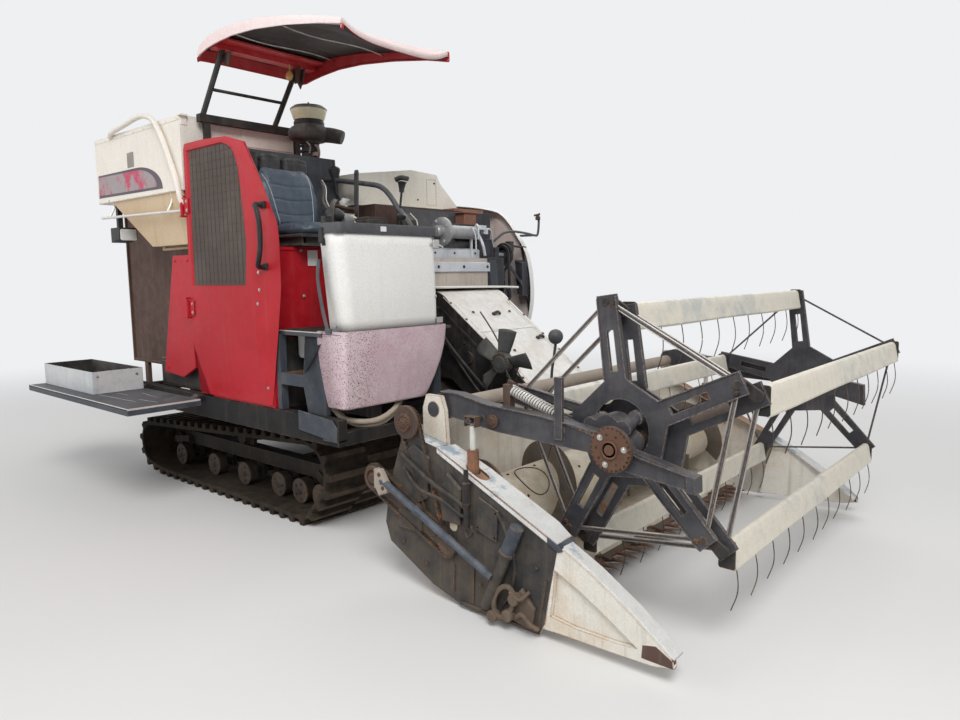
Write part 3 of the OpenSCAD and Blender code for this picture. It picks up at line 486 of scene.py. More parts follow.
finishTable = {
    "redPaint": dict(base=(0.40, 0.005, 0.013), faded=(0.46, 0.013, 0.025), rust=0.02, edge=0.3, dust=0.05,
        streak=0.10, rough=(0.34, 0.55), bump=0.08),
    "tankPaint": dict(base=(0.78, 0.73, 0.65), faded=(0.84, 0.78, 0.70), rust=0.02, edge=0.3, dust=0.10, streak=0.12,
        rough=(0.35, 0.55), bump=0.08),
    "tablePaint": dict(base=(0.74, 0.71, 0.64), faded=(0.70, 0.60, 0.48), rust=0.30, edge=0.9, dust=0.3, streak=0.35,
        rough=(0.4, 0.7)),
    # Dark brown: red paint darkened as painted shade, with dirt and rust
    "rustyBrownAndShade": dict(base=(0.10, 0.058, 0.046), faded=(0.065, 0.036, 0.030), rust=0.4, edge=0.5,
        edgeTone=(0.22, 0.11, 0.07, 1), dust=0.15, streak=0.4, rough=(0.6, 0.85), bump=0.4),
    "greyPaint": dict(base=(0.036, 0.037, 0.045), faded=(0.062, 0.062, 0.070), rust=0.14, edge=0.9,
        edgeTone=(0.30, 0.27, 0.25, 1), dust=0.14, rough=(0.35, 0.6), bump=0.2),
    "framePaint": dict(base=(0.030, 0.031, 0.034), faded=(0.055, 0.052, 0.05), rust=0.25, edge=0.7, rough=(0.5, 0.8),
        bump=0.35, lowDirt=0.7),
    "blackIron": dict(base=(0.014, 0.014, 0.016), faded=(0.036, 0.033, 0.031), rust=0.15, edge=0.5, dust=0.22,
        rough=(0.45, 0.8), bump=0.35),
    "blackPlastic": dict(base=(0.012, 0.013, 0.016), faded=(0.032, 0.033, 0.036), dust=0.14, streak=0.1,
        rough=(0.4, 0.65), bump=0.15),
    "rustyIron": dict(base=(0.070, 0.044, 0.034), faded=(0.042, 0.030, 0.026), rust=0.5, edge=0.6,
        edgeTone=(0.20, 0.10, 0.055, 1), dust=0.22, rough=(0.55, 0.85), bump=0.5, lowDirt=0.3),
    "trackRubber": dict(base=(0.014, 0.012, 0.011), faded=(0.036, 0.029, 0.023), dust=0.55, streak=0.1,
        rough=(0.7, 0.95), bump=0.5, lowDirt=0.5, dirt=(0.085, 0.064, 0.046, 1), gloss=0.1),
    "canopyTop": dict(base=(0.80, 0.62, 0.60), faded=(0.86, 0.74, 0.72), patchSpan=(0.36, 0.6), dust=0.15, streak=0.0,
        rough=(0.5, 0.75), bump=0.12),
    "deckPaint": dict(base=(0.040, 0.052, 0.068), faded=(0.070, 0.082, 0.095), rust=0.08, edge=0.6, dust=0.16,
        streak=0.0, rough=(0.4, 0.65), bump=0.2),
    "bareSteel": dict(base=(0.52, 0.51, 0.49), faded=(0.40, 0.38, 0.36), rust=0.12, edge=0.3, dust=0.2, streak=0.1,
        rough=(0.25, 0.5), metal=0.9, bump=0.15),
    "wornSteel": dict(base=(0.34, 0.31, 0.28), faded=(0.22, 0.17, 0.13), rust=0.45, edge=0.4, dust=0.3,
        rough=(0.35, 0.65), metal=0.7, bump=0.3),
    "seatVinyl": dict(base=(0.050, 0.070, 0.095), faded=(0.080, 0.105, 0.135), dust=0.08, gloss=0.4, streak=0.0,
        rough=(0.38, 0.58), bump=0.2, size=1.6),
    "whitePlastic": dict(base=(0.74, 0.75, 0.73), faded=(0.66, 0.66, 0.62), dust=0.12, streak=0.12,
        rough=(0.35, 0.55), bump=0.05),
    # Bats: cream paint whose blue-grey patches are partly worn paint and partly painted shade of their upper faces
    "batCreamAndPaintedShade": dict(base=(0.74, 0.69, 0.58), faded=(0.52, 0.53, 0.50), patchSpan=(0.46, 0.66), rust=0.04, edge=0.4,
        dust=0.1, streak=0.1, rough=(0.4, 0.65), bump=0.18),
    "skirtPlastic": dict(base=(0.60, 0.43, 0.47), faded=(0.68, 0.54, 0.57), dust=0.08, streak=0.15, rough=(0.5, 0.75),
        bump=0.15, speck=1.0, speckAt=(-0.765, 0.16)),
    "mesh": dict(base=(0.075, 0.058, 0.050), faded=(0.11, 0.088, 0.078), rust=0.05, dust=0.12, rough=(0.6, 0.85),
        bump=0.3),
    "bowlPlastic": dict(base=(0.80, 0.72, 0.46), faded=(0.84, 0.78, 0.58), dust=0.12, streak=0.1, rough=(0.2, 0.4),
        bump=0.05),
    "auger": dict(base=(0.74, 0.68, 0.56), faded=(0.66, 0.54, 0.38), rust=0.24, edge=0.4, dust=0.1, streak=0.1,
        rough=(0.35, 0.6), bump=0.15),
    "canopyRed": dict(base=(0.46, 0.025, 0.03), faded=(0.52, 0.05, 0.055), dust=0.1, streak=0.1, rough=(0.35, 0.6),
        bump=0.1),
    "amberLens": dict(base=(0.55, 0.30, 0.08), faded=(0.60, 0.40, 0.14), dust=0.15, streak=0.0, rough=(0.15, 0.3),
        bump=0.05),
    "tanPaint": dict(base=(0.58, 0.42, 0.26), faded=(0.62, 0.48, 0.32), rust=0.04, edge=0.3, dust=0.1,
        rough=(0.4, 0.6), bump=0.1),
    "stripeDark": dict(base=(0.07, 0.06, 0.075), faded=(0.11, 0.09, 0.11), dust=0.1, streak=0.0, rough=(0.4, 0.6),
        bump=0.05),
    "stripeRed": dict(base=(0.50, 0.045, 0.11), faded=(0.34, 0.30, 0.30), patchSpan=(0.47, 0.56), dust=0.08, streak=0.0,
        rough=(0.4, 0.6), bump=0.05),
    "labelGrey": dict(base=(0.26, 0.24, 0.21), faded=(0.34, 0.31, 0.27), dust=0.15, streak=0.0, rough=(0.5, 0.7),
        bump=0.1, size=4.0),
    "labelWhite": dict(base=(0.78, 0.78, 0.76), faded=(0.70, 0.69, 0.66), dust=0.1, streak=0.0, rough=(0.4, 0.6),
        bump=0.03, size=4.0),
    "paleSteel": dict(base=(0.62, 0.60, 0.56), faded=(0.70, 0.67, 0.62), rust=0.06, dust=0.12, streak=0.0,
        rough=(0.3, 0.5), metal=0.3, bump=0.1),
    "columnPaint": dict(base=(0.84, 0.83, 0.80), faded=(0.82, 0.79, 0.73), patchSpan=(0.45, 0.7), dust=0.04, streak=0.05,
        rough=(0.3, 0.5), bump=0.05),
    "rimGrey": dict(base=(0.052, 0.055, 0.062), faded=(0.085, 0.086, 0.092), dust=0.12, streak=0.05,
        rough=(0.45, 0.65), bump=0.12),
    "sidePlate": dict(base=(0.032, 0.032, 0.034), faded=(0.070, 0.058, 0.048), rust=0.26, edge=0.6,
        edgeTone=(0.20, 0.12, 0.08, 1), dust=0.3, streak=0.25, rough=(0.6, 0.88), bump=0.45),
    "flangeWhite": dict(base=(0.70, 0.70, 0.68), faded=(0.30, 0.40, 0.48), patchSpan=(0.50, 0.56), rust=0.18, edge=1.1,
        dust=0.2, streak=0.1, rough=(0.4, 0.65), bump=0.2),
    "chain": dict(base=(0.055, 0.040, 0.032), faded=(0.10, 0.066, 0.048), rust=0.5, rough=(0.5, 0.75), metal=0.3,
        bump=0.3),
    "rustyBarrel": dict(base=(0.16, 0.075, 0.045), faded=(0.36, 0.17, 0.08), rust=0.35, edge=0.3, dust=0.2,
        rough=(0.5, 0.75)),
    "blueSteel": dict(base=(0.042, 0.052, 0.070), faded=(0.10, 0.12, 0.15), rust=0.15, edge=0.6, dust=0.15,
        rough=(0.4, 0.65)),
    "grillCream": dict(base=(0.66, 0.60, 0.46), faded=(0.72, 0.66, 0.52), rust=0.05, dust=0.2, bump=0.1),
    "dustyCast": dict(base=(0.30, 0.25, 0.21), faded=(0.40, 0.34, 0.29), rust=0.22, edge=0.5, dust=0.5,
        rough=(0.6, 0.85), bump=0.4),
    "fingerRust": dict(base=(0.26, 0.11, 0.075), faded=(0.18, 0.08, 0.058), rust=0.2, edge=0.3, dust=0.15,
        rough=(0.5, 0.8), bump=0.3),
    "slatePanel": dict(base=(0.034, 0.042, 0.052), faded=(0.055, 0.064, 0.074), rust=0.03, edge=0.3, dust=0.2,
        rough=(0.4, 0.65), bump=0.12),
    # Mid-grey rod steel: the reel rods' steel darkened as painted shade
    "rodSteelPaintedShade": dict(base=(0.44, 0.41, 0.37), faded=(0.32, 0.28, 0.24), rust=0.15, dust=0.15, rough=(0.35, 0.6),
        metal=0.5, bump=0.1),
    "tineWire": dict(base=(0.055, 0.040, 0.034), faded=(0.10, 0.062, 0.045), rust=0.35, dust=0.1, rough=(0.5, 0.7),
        bump=0.1),
    "rustDisc": dict(base=(0.115, 0.056, 0.034), faded=(0.075, 0.040, 0.028), rust=0.3, edge=0.4,
        edgeTone=(0.24, 0.13, 0.08, 1), dust=0.15, rough=(0.5, 0.75), bump=0.3),
    "flightGrey": dict(base=(0.13, 0.115, 0.10), faded=(0.20, 0.17, 0.14), rust=0.42, edge=0.9, dust=0.2,
        rough=(0.4, 0.7), metal=0.3),
    "fanGrey": dict(base=(0.035, 0.038, 0.041), faded=(0.070, 0.074, 0.074), dust=0.2, streak=0.0, rough=(0.4, 0.65),
        bump=0.12),
    "pipingGrey": dict(base=(0.30, 0.36, 0.42), faded=(0.38, 0.44, 0.50), dust=0.1, streak=0.0, rough=(0.4, 0.6),
        bump=0.05),
    "padBlack": dict(base=(0.016, 0.017, 0.020), faded=(0.036, 0.036, 0.040), streak=0.0, rough=(0.4, 0.65), bump=0.2,
        size=1.6),
    "intakeDust": dict(base=(0.032, 0.030, 0.030), faded=(0.070, 0.062, 0.058), dust=0.75, dirt=(0.30, 0.26, 0.23, 1),
        streak=0.1, rough=(0.5, 0.8), bump=0.2),
    "lidGrey": dict(base=(0.14, 0.155, 0.165), faded=(0.24, 0.25, 0.25), dust=0.35, streak=0.0, rough=(0.3, 0.5),
        bump=0.08),
    "railGrey": dict(base=(0.040, 0.046, 0.056), faded=(0.075, 0.082, 0.092), rust=0.05, edge=0.2, streak=0.05,
        rough=(0.35, 0.55), bump=0.1),
    "stepPaint": dict(base=(0.034, 0.046, 0.062), faded=(0.060, 0.072, 0.086), rust=0.04, edge=0.4, dust=0.2,
        streak=0.15, rough=(0.5, 0.75), bump=0.3, speck=0.6),
    "tankGrey": dict(base=(0.30, 0.27, 0.26), faded=(0.38, 0.35, 0.33), dust=0.2, rough=(0.4, 0.6), bump=0.06),
    # Near-black for the feeder's sides and undersides: dark paint, and painted shadow cast by the column
    "feederDarkPaintAndShadow": dict(base=(0.010, 0.010, 0.012), faded=(0.028, 0.024, 0.022), rust=0.08, edge=0.3, dust=0.15,
        rough=(0.55, 0.85), bump=0.35),
    "silverSheet": dict(base=(0.50, 0.53, 0.56), faded=(0.62, 0.64, 0.66), rust=0.04, edge=0.2, dust=0.15,
        rough=(0.3, 0.5), metal=0.45, bump=0.1),
    "taupeInside": dict(base=(0.60, 0.50, 0.46), faded=(0.68, 0.58, 0.54), rust=0.06, edge=0.2, dust=0.12,
        rough=(0.5, 0.75), bump=0.15),
    "tanSheet": dict(base=(0.46, 0.40, 0.35), faded=(0.56, 0.50, 0.44), rust=0.10, edge=0.3, streak=0.35, bump=0.15),
    "machinery": dict(base=(0.014, 0.017, 0.026), faded=(0.045, 0.046, 0.056), rust=0.18, edge=0.7,
        edgeTone=(0.26, 0.26, 0.28, 1), dust=0.15, rough=(0.4, 0.7), bump=0.4),
    "coverWhite": dict(base=(0.86, 0.85, 0.81), faded=(0.84, 0.81, 0.76), rust=0.02, edge=0.2, dust=0.05, streak=0.08,
        rough=(0.35, 0.55), bump=0.06),
    "beigeHose": dict(base=(0.36, 0.30, 0.23), faded=(0.44, 0.38, 0.30), dust=0.35, streak=0.0, rough=(0.5, 0.7),
        bump=0.1),
    # Lighter brown for the lug tips: dust, and painted highlight on the ridges
    "lugDustAndHighlight": dict(base=(0.040, 0.031, 0.024), faded=(0.085, 0.064, 0.048), rust=0.10, dust=0.6, streak=0.1,
        rough=(0.7, 0.95), bump=0.5, lowDirt=0.6, dirt=(0.13, 0.10, 0.075, 1), gloss=0.1),
    "feederTop": dict(base=(0.80, 0.78, 0.74), faded=(0.76, 0.71, 0.65), rust=0.06, edge=0.4, dust=0.15,
        rough=(0.4, 0.65), bump=0.15),
    "rustBox": dict(base=(0.20, 0.085, 0.055), faded=(0.28, 0.13, 0.09), rust=0.3, edge=0.4, streak=0.3,
        rough=(0.5, 0.75), bump=0.3),
    "brushedGrey": dict(base=(0.26, 0.26, 0.27), faded=(0.38, 0.38, 0.38), rust=0.03, edge=0.2, dust=0.15, streak=0.0,
        rough=(0.3, 0.5), metal=0.4, size=2.5),
    "lidCream": dict(base=(0.86, 0.83, 0.75), faded=(0.84, 0.79, 0.68), rust=0.02, edge=0.2, dust=0.05, streak=0.1,
        rough=(0.35, 0.6), bump=0.08),
    "seamPink": dict(base=(0.62, 0.45, 0.42), faded=(0.66, 0.52, 0.48), dust=0.1, streak=0.0, rough=(0.4, 0.6),
        bump=0.05),
    "trayPaint": dict(base=(0.52, 0.55, 0.57), faded=(0.66, 0.67, 0.66), rust=0.05, edge=0.5, dust=0.2,
        rough=(0.35, 0.55), bump=0.08),
    "wheelIron": dict(base=(0.020, 0.017, 0.016), faded=(0.042, 0.030, 0.025), rust=0.35, edge=0.4,
        edgeTone=(0.16, 0.09, 0.06, 1), dust=0.3, rough=(0.6, 0.9), bump=0.5, lowDirt=0.3,
        dirt=(0.10, 0.075, 0.055, 1), gloss=0.12),
    "rimSteel": dict(base=(0.075, 0.068, 0.062), faded=(0.12, 0.105, 0.09), rust=0.25, edge=0.3, dust=0.3,
        rough=(0.4, 0.65), bump=0.2),
    "railPaint": dict(base=(0.014, 0.014, 0.016), faded=(0.030, 0.027, 0.025), rust=0.12, edge=0.5,
        edgeTone=(0.20, 0.16, 0.12, 1), dust=0.12, streak=0.1, rough=(0.6, 0.85), bump=0.3, lowDirt=0.1,
        dirt=(0.11, 0.085, 0.065, 1), gloss=0.15),
    "underPaint": dict(base=(0.016, 0.016, 0.018), faded=(0.036, 0.031, 0.027), rust=0.26, edge=0.6,
        edgeTone=(0.22, 0.17, 0.12, 1), dust=0.3, rough=(0.55, 0.85), bump=0.4, lowDirt=0.3,
        dirt=(0.13, 0.10, 0.075, 1), gloss=0.15),
    "lining": dict(base=(0.025, 0.024, 0.026), faded=(0.06, 0.052, 0.05), dust=0.2, rust=0.05, rough=(0.55, 0.8),
        bump=0.2),
}
finishes = {name: weathered(name, **look) for name, look in finishTable.items()}
print("finishes ready")


# CAD nodes carried over with rounded edges: node, slot, finish, edge width in mm
copyTable = [
    ("canopy_frame", "black_paint", "blackIron", 1), ("grain_elevator", "grey_paint", "greyPaint", 2),
    ("knife", "worn_steel", "wornSteel", 0.5), ("lift_barrel", "black_paint", "blackIron", 2),
    ("lift_rod", "bare_steel", "bareSteel", 1),
]


# Every node of the table, its own mesh with rounded edges.
def addCopies():
    for node, slotName, finish, width in copyTable:
        softCopy(node, finish, width)


# The column of a table at x, straight between its rows.
def along(table, x, column=1):
    t = np.asarray(table, float)
    return np.interp(x, t[:, 0], t[:, column])


# Canopy: x, height of the top, depth of the rim
canopyShape = {
    "line": [(-800, 2455, 45), (-775, 2495, 90), (-700, 2520, 105), (-600, 2529, 105), (-450, 2528, 98),
        (-250, 2507, 88), (0, 2462, 74), (250, 2407, 62), (412, 2365, 55)],
    "near": -875, "far": -200, "dip": 62, "edge": 22, "sheet": 8,
}


# z = line(x) - dip * s^2 * (1 - q^4), s from 0 at x = 40 to 1 at the front edge, q from -1 to 1 across.
def canopyHeight(x, y):
    c = canopyShape
    s = np.clip((x - 40) / 372, 0, 1)
    q = (2 * y - c["near"] - c["far"]) / (c["far"] - c["near"])
    return along(c["line"], x) - c["dip"] * s ** 2 * (1 - np.clip(np.abs(q), 0, 1) ** 4) - 5 * np.abs(q) ** 6


# At each x a row across: canopyHeight inside, the rim's depth lower at both sides, and an arc between them; the rim
# of the near side is 0.62 as deep.
def addCanopy():
    c = canopyShape
    x = np.concatenate([np.linspace(-800, -700, 7), np.linspace(-660, 380, 27), [404, 412]])
    bend = np.linspace(0, math.pi / 2, 5)
    yIn, yFar = c["near"] + c["edge"], c["far"] - c["edge"]
    # across: rim bottom, rim wall, rounded edge, top, rounded edge, rim wall, rim bottom
    y = np.concatenate([[c["near"] + 10, c["near"], c["near"]], yIn - c["edge"] * np.cos(bend),
            np.linspace(yIn, yFar, 17)[1:-1], yFar + c["edge"] * np.sin(bend), [c["far"], c["far"], c["far"] - 10]])
    drop = np.concatenate([[1, 1, 0.6], 0 * bend, np.zeros(15), 0 * bend, [0.6, 1, 1]])
    rounding = np.concatenate([[1, 1, 1], 1 - np.sin(bend), np.zeros(15), 1 - np.cos(bend), [1, 1, 1]])
    X, Y = np.meshgrid(x, y, indexing="ij")
    depth = along(c["line"], x, 2)[:, None]
    near = np.where(Y < -500, 0.62, 1.0)
    Z = canopyHeight(X, Y) - drop * near * depth - (1 - (drop > 0)) * rounding * c["edge"] * 0.9
    Z = np.where((drop > 0)[None, :] & (drop < 1)[None, :], canopyHeight(X, Y) - 21 - 0.45 * (near * depth - 21), Z)
    top = np.stack([X, Y, Z], -1)
    lip = top[-1:].copy()
    lip[..., 2] = np.maximum(lip[..., 2] - 24, canopyHeight(lip[..., 0], lip[..., 1]) - depth[-1])
    back = top[:1].copy()
    back[..., 2] = np.maximum(back[..., 2] - 44, back[..., 2].min() - 2)
    shell = addPiece("canopy_shell", grid(np.vstack([back, top, lip])), "machine", "canopyTop", 50,
            replaced=("canopy",))
    tinted(shell, "canopyRed", lambda p, n: p[:, 1] > c["far"] - 12)
    thicken(shell, c["sheet"], inside=1, rim=1)
    x, y = np.linspace(-772, 403, 25), np.linspace(-862, -212, 15)
    X, Y = np.meshgrid(x, y, indexing="ij")
    sag = 3 * np.sin(X / 47.0) * np.sin(Y / 61.0)
    Z = canopyHeight(X, Y) - 24 + sag * (X < 330) - 4
    lining = addPiece("canopy_lining", grid(np.stack([X, Y, Z], -1)), "machine", "lining", 60)
    thicken(lining, 4, 0)
    beam = block(-705, -640, -856, -219, 2448, 2492, 5)
    strip = block(-640, -560, -856, -219, 2474, 2484, 2)
    addPiece("canopy_beam", [beam, strip], "machine", "canopyRed", bevel=2)
    wires = []
    for x in (-470, -40):
        ys = np.linspace(-852, -224, 9)
        wires.append(sweep(circle(4, 8), np.stack([np.full(9, x) + 20 * np.sin(ys / 90), ys,
                canopyHeight(np.full(9, x), ys) - 46 - 8 * np.sin((ys + 852) / 628 * math.pi)], 1)))
    addPiece("canopy_wires", wires, "machine", "bareSteel")
    bracket = [plate([(-700, 2440), (-600, 2440), (-620, 2380), (-655, 2330), (-690, 2385)], -330, -322, "xz", 1.5),
            plate([(-690, 2450), (-610, 2450), (-635, 2360), (-675, 2360)], -352, -346, "xz", 1.5),
            plate([(-700, 2440), (-610, 2440), (-640, 2370), (-690, 2385)], -790, -780, "xz", 1.5)]
    addPiece("canopy_brackets", bracket, "machine", "rustyBrownAndShade", bevel=1)
    lens = turned([(0, -6), (20, -5), (26, -1), (26, 5), (20, 9), (0, 12)], (-636, -410, 2386), (0.2, -1, 0), 20)
    stem = tube([(-640, -405, 2450), (-638, -405, 2415), (-636, -405, 2392)], 4)
    addPiece("round_reflector", [lens, stem], "machine", "amberLens")


# Engine door: edges of its skin by height, then the crease that its front facet turns on
doorShape = {
    "rear": [(634, -664), (640, -664), (890, -784), (1500, -778), (1956, -766)],
    "front": [(634, -70), (900, -17), (1200, 42), (1486, 42), (1740, -100), (1900, -205), (1945, -367), (1956, -560)],
    "crease": [(634, -92), (900, -150), (1050, -168), (1200, -172), (1420, -158), (1700, -190), (1830, -228),
        (1900, -282), (1945, -430), (1956, -600)],
    "screenRear": [(1210, -757), (1926, -737)],
    "screenFront": [(1210, -226), (1420, -200), (1700, -232), (1830, -252), (1890, -302), (1919, -392), (1926, -480)],
    "screen": (1214, 1916), "outer": -1000, "facet": 20, "lower": 16, "recess": 7, "hem": -979,
}


# Skin rows at heights z, x from the rear edge over the screen and the crease to the front edge; y = outer + the
# facet's slope after the crease + the lower bend + the screen's recess, at most 20.
def addDoor():
    d = doorShape
    z = np.concatenate([[634, 640, 700, 780, 860, 925, 945, 1000, 1080, 1160, 1212, 1216], np.linspace(1290, 1860, 9),
            [1880, 1900, 1914, 1918, 1930, 1945, 1956]])
    rear, front, crease = (along(d[k], z) for k in ("rear", "front", "crease"))
    sRear = np.minimum(along(d["screenRear"], z), crease - 60)
    sFront = np.maximum(np.minimum(along(d["screenFront"], z), crease - 30), sRear + 30)
    screenLow, screenHigh = d["screen"]
    inside = (z > screenLow) & (z < screenHigh)
    columns = [rear, rear, rear + 3, sRear - 4, sRear, sRear * 0.97 + sFront * 0.03, sRear * 0.66 + sFront * 0.34,
            sRear * 0.33 + sFront * 0.67, sRear * 0.03 + sFront * 0.97, sFront, crease - 6, crease, crease + 6,
            front - 3, front, front]
    X = np.stack(columns, 1)
    sunk = np.zeros(X.shape)
    sunk[:, 5:9] = d["recess"]
    sunk *= inside[:, None]
    slope = np.clip((X - crease[:, None]) / 150, 0, 1) * d["facet"]
    under = np.clip((935 - z) / 300, 0, 1)[:, None] * d["lower"] + np.clip((1930 - z) / -26, 0, 1)[:, None] * 6
    Y = d["outer"] + np.minimum(slope + under + sunk, 20)
    Y[:, 0] = Y[:, -1] = d["hem"]
    points = np.stack([X, Y, np.broadcast_to(z[:, None], X.shape)], -1)
    lowRow, topRow = points[:1].copy(), points[-1:].copy()
    lowRow[..., 1] = topRow[..., 1] = d["hem"]
    points = np.vstack([lowRow, points, topRow])
    points[1, :, 1] = np.minimum(points[1, :, 1], d["hem"] - 2)
    skin = addPiece("door_skin", grid(points), "door", "redPaint", 9,
            replaced=("engine_door", "door_screen"))
    tinted(skin, "mesh", lambda p, n: (np.abs(p[:, 1] - d["outer"] - d["recess"]) < 0.6) & (p[:, 2] > screenLow)
           & (p[:, 2] < screenHigh) & (p[:, 0] < along(d["screenFront"], p[:, 2])))
    thicken(skin, 2)
    # Woven screen: wires standing a little proud of its backing
    wires = []
    for zz in np.arange(1240, 1905, 40):
        a, b = along(d["screenRear"], zz) + 12, min(along(d["screenFront"], zz), along(d["crease"], zz) - 30) - 10
        wires.append(block(a, b, -994.6, -993.2, zz - 1, zz + 1, 0.3))
    for xx in np.arange(-735, -215, 40):
        zs = np.linspace(1222, 1912, 60)
        ok = (xx > along(d["screenRear"], zs) + 10) & (xx < np.minimum(along(d["screenFront"], zs),
                along(d["crease"], zs) - 30) - 8)
        if ok.sum() > 4:
            wires.append(block(xx - 1, xx + 1, -995.0, -993.6, zs[ok].min(), zs[ok].max(), 0.3))
    addPiece("door_screen_wires", wires, "door", "mesh")
    knuckles = []
    for zz in (1050, 1590):
        knuckles.append(turned([(4.6, 0), (9, 0), (9, 90), (4.6, 90), (4.6, 0)], (-795, -1012, zz), toTop, 16))
        knuckles.append(block(-793, -740, -1007, -1001, zz + 4, zz + 86, 2))
    addPiece("door_hinges", knuckles, "door", "redPaint", bevel=1)
    bolts = scattered(boltHead(8, 5), [(-752, -1007, 1072), (-752, -1007, 1118), (-752, -1007, 1612),
            (-752, -1007, 1658), (-120, -994.4, 1278), (-118, -994.4, 1195), (-134, -996.4, 1128), (-95, -985, 720)],
            toRight)
    addPiece("door_bolts", bolts, "door", "bareSteel")
    grip = tube([(-62, -990, 1592), (-62, -1032, 1590), (-30, -1045, 1560), (-14, -1045, 1500), (-14, -1045, 1400),
            (-30, -1045, 1340), (-62, -1030, 1306), (-62, -990, 1304)], 12, 12, up=(0.9, 0.1, 0.4))
    feet = [block(-84, -44, -1000, -984, zz - 16, zz + 16, 4) for zz in (1592, 1304)]
    heads = scattered(boltHead(7, 5), [(-76, -1000, 1592), (-76, -1000, 1304)], toRight)
    addPiece("door_grip", [grip, *feet, heads], "door", "blackPlastic", replaced=("door_handle",))


# The tank's node, its funnel tinted, with a half-ellipse panel (x + a cos t, z + b sin t), rails and seams.
def addHopper():
    body = frame["nodes"]["grain_hopper"]["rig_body"]
    skin = softCopy("grain_hopper", "tankPaint", 4)
    tinted(skin, "tanPaint", lambda p, n: p[:, 2] < 1721)
    # Half-ellipse stripe panel on the near face: x from rear to front, z above its flat lower edge
    t = np.linspace(0, math.pi / 2, 14)
    crown = np.stack([-1330 + 312 * np.cos(t), 1752 + 138 * np.sin(t)], 1)
    outline = np.vstack([[(-1862, 1757)], [(-1018, 1748)], crown[1:], [(-1855, 1893)]])
    addPiece("stripe_border", plate(outline, -1001.4, -1000.2, "xz", 0.3), body, "stripeDark")
    inner = np.vstack([[(-1858, 1772)], [(-1090, 1763)], np.stack([-1345 + 262 * np.cos(t), 1764 + 112 * np.sin(t)],
            1)[1:], [(-1852, 1882)]])
    addPiece("stripe_field", plate(inner, -1002.2, -1001.4, "xz", 0.3), body, "stripeRed")
    addPiece("blank_label", plate(rounded(-1438, -1352, 1900, 1985, 4), -1001.2, -1000.2, "xz", 0.3), body,
            "labelGrey")
    rail = tube([(-1640, -1004, 2100), (-1585, -1016, 2118), (-1400, -1018, 2140), (-1240, -1018, 2156),
            (-1140, -1018, 2150), (-1040, -1018, 2108), (-960, -1018, 2010), (-905, -1018, 1920), (-840, -1018, 1800),
            (-808, -1018, 1720), (-800, -1010, 1660), (-800, -985, 1640)], 15, 12)
    rod = tube([(-1815, -1012, 1634), (-1810, -1012, 1632), (-800, -1012, 1612), (-795, -1012, 1612)], 8, 10, False)
    stays = [tube([(x, -1012, z), (x + 4, -985, z + 60), (x + 4, -985, 1724)], 6, 8)
            for x, z in ((-1700, 1631), (-960, 1615))]
    addPiece("tank_rail", [rail], body, "tankPaint")
    addPiece("tank_rod", [rod, *stays], body, "paleSteel")
    seam = [block(-1878, -792, -1002, -1000, 2084, 2104, 1), block(-1872, -798, -1003, -1000, 1724, 1736, 1)]
    corner = [block(-792, -786, -996, -960, 2060, 2106, 2), block(-800, -770, -1006, -960, 2104, 2112, 2)]
    panel = [plate(rounded(-640, -300, 1990, 2095, 8), -788, -785, "yz", 1)]
    bolts = scattered(boltHead(6, 4), [(x, -1002, z) for x in range(-1850, -800, 130) for z in (2094, 1730)], toRight)
    addPiece("tank_seams", [*seam, *corner, *panel, bolts], body, "tankPaint", bevel=0.8)


# Operator's column: heights of its foot and top, and at both its front, near and far edges and rear; corner radius
columnShape = {"heights": (1000, 1450), "front": (434, 428), "near": (-902, -938), "far": (-318, -330),
        "rear": (300, 292), "corner": 48}


# Plan rings straight between foot and top in the share s of the height, the front bulging by 5 sin(pi s), with
# quarter circles at its two front corners.
def addColumn():
    c = columnShape
    low, high = c["heights"]
    z = np.linspace(low, high, 9)
    share = (z - low) / (high - low)
    t = np.linspace(0, math.pi / 2, 7)
    bulge = 5 * np.sin(share * math.pi)
    front, near, far, rear = (c[k][0] * (1 - share) + c[k][1] * share for k in ("front", "near", "far", "rear"))
    front = front + bulge - 6
    r = c["corner"]
    nearCorner = np.stack([(front - r)[:, None] + r * np.sin(t), (near + r)[:, None] - r * np.cos(t)], -1)
    farCorner = np.stack([(front - r)[:, None] + r * np.cos(t), (far - r)[:, None] + r * np.sin(t)], -1)
    rearNear = np.stack([rear, near], 1)[:, None]
    rearFar = np.stack([rear, far], 1)[:, None]
    ring = np.concatenate([rearNear, nearCorner, farCorner, rearFar], 1)
    points = np.concatenate([ring, np.broadcast_to(z[:, None, None], ring.shape[:2] + (1,))], -1)
    shell = addPiece("column_shell", grid(points), "machine", "columnPaint", 40,
            replaced=("control_column",))
    thicken(shell, 6)
    rows = scattered(boltHead(7, 4), [(429, -375, 1405), (431, -352, 1150)], toFront)
    side = scattered(boltHead(7, 4), [(340, -906, 1030)], toRight)
    latches = [block(426, 437, -366, -322, 1388, 1428, 3), block(430, 442, -352, -312, 1018, 1046, 3),
            tube([(432, -336, 1400), (440, -318, 1396), (436, -300, 1390)], 5)]
    addPiece("column_latches", [*latches, rows, side], "machine", "bareSteel", bevel=1)
    blank = plate(rounded(-700, -665, 1455, 1478, 3), 430.5, 432, "yz", 0.3)
    addPiece("rim_blank", blank, "machine", "labelWhite")
    # Rim round the instruments: outer and inner walls by height
    profile = np.array([(2, 1444), (2, 1482), (-4, 1490), (-16, 1490), (-20, 1484), (-20, 1464), (-60, 1461)])
    loop = rounded(287, 428, -940, -320, 30, 5)
    rim = np.stack([np.column_stack([insetLoop(loop, -d), np.full(len(loop), h)]) for d, h in profile])
    points, faces = grid(rim, False, True)
    n = len(loop)
    faces.append(tuple(range((len(profile) - 1) * n, len(profile) * n)))
    addPiece("instrument_rim", (points, faces), "machine", "rimGrey", 40)


# Tapered tub under the column: outer rectangle at the top and foot, then its heights
skirtShape = {"top": (262, 459, -950, -298), "foot": (318, 437, -942, -432), "heights": (660, 1010), "corner": 20,
        "farCorner": 26, "sheet": 5}


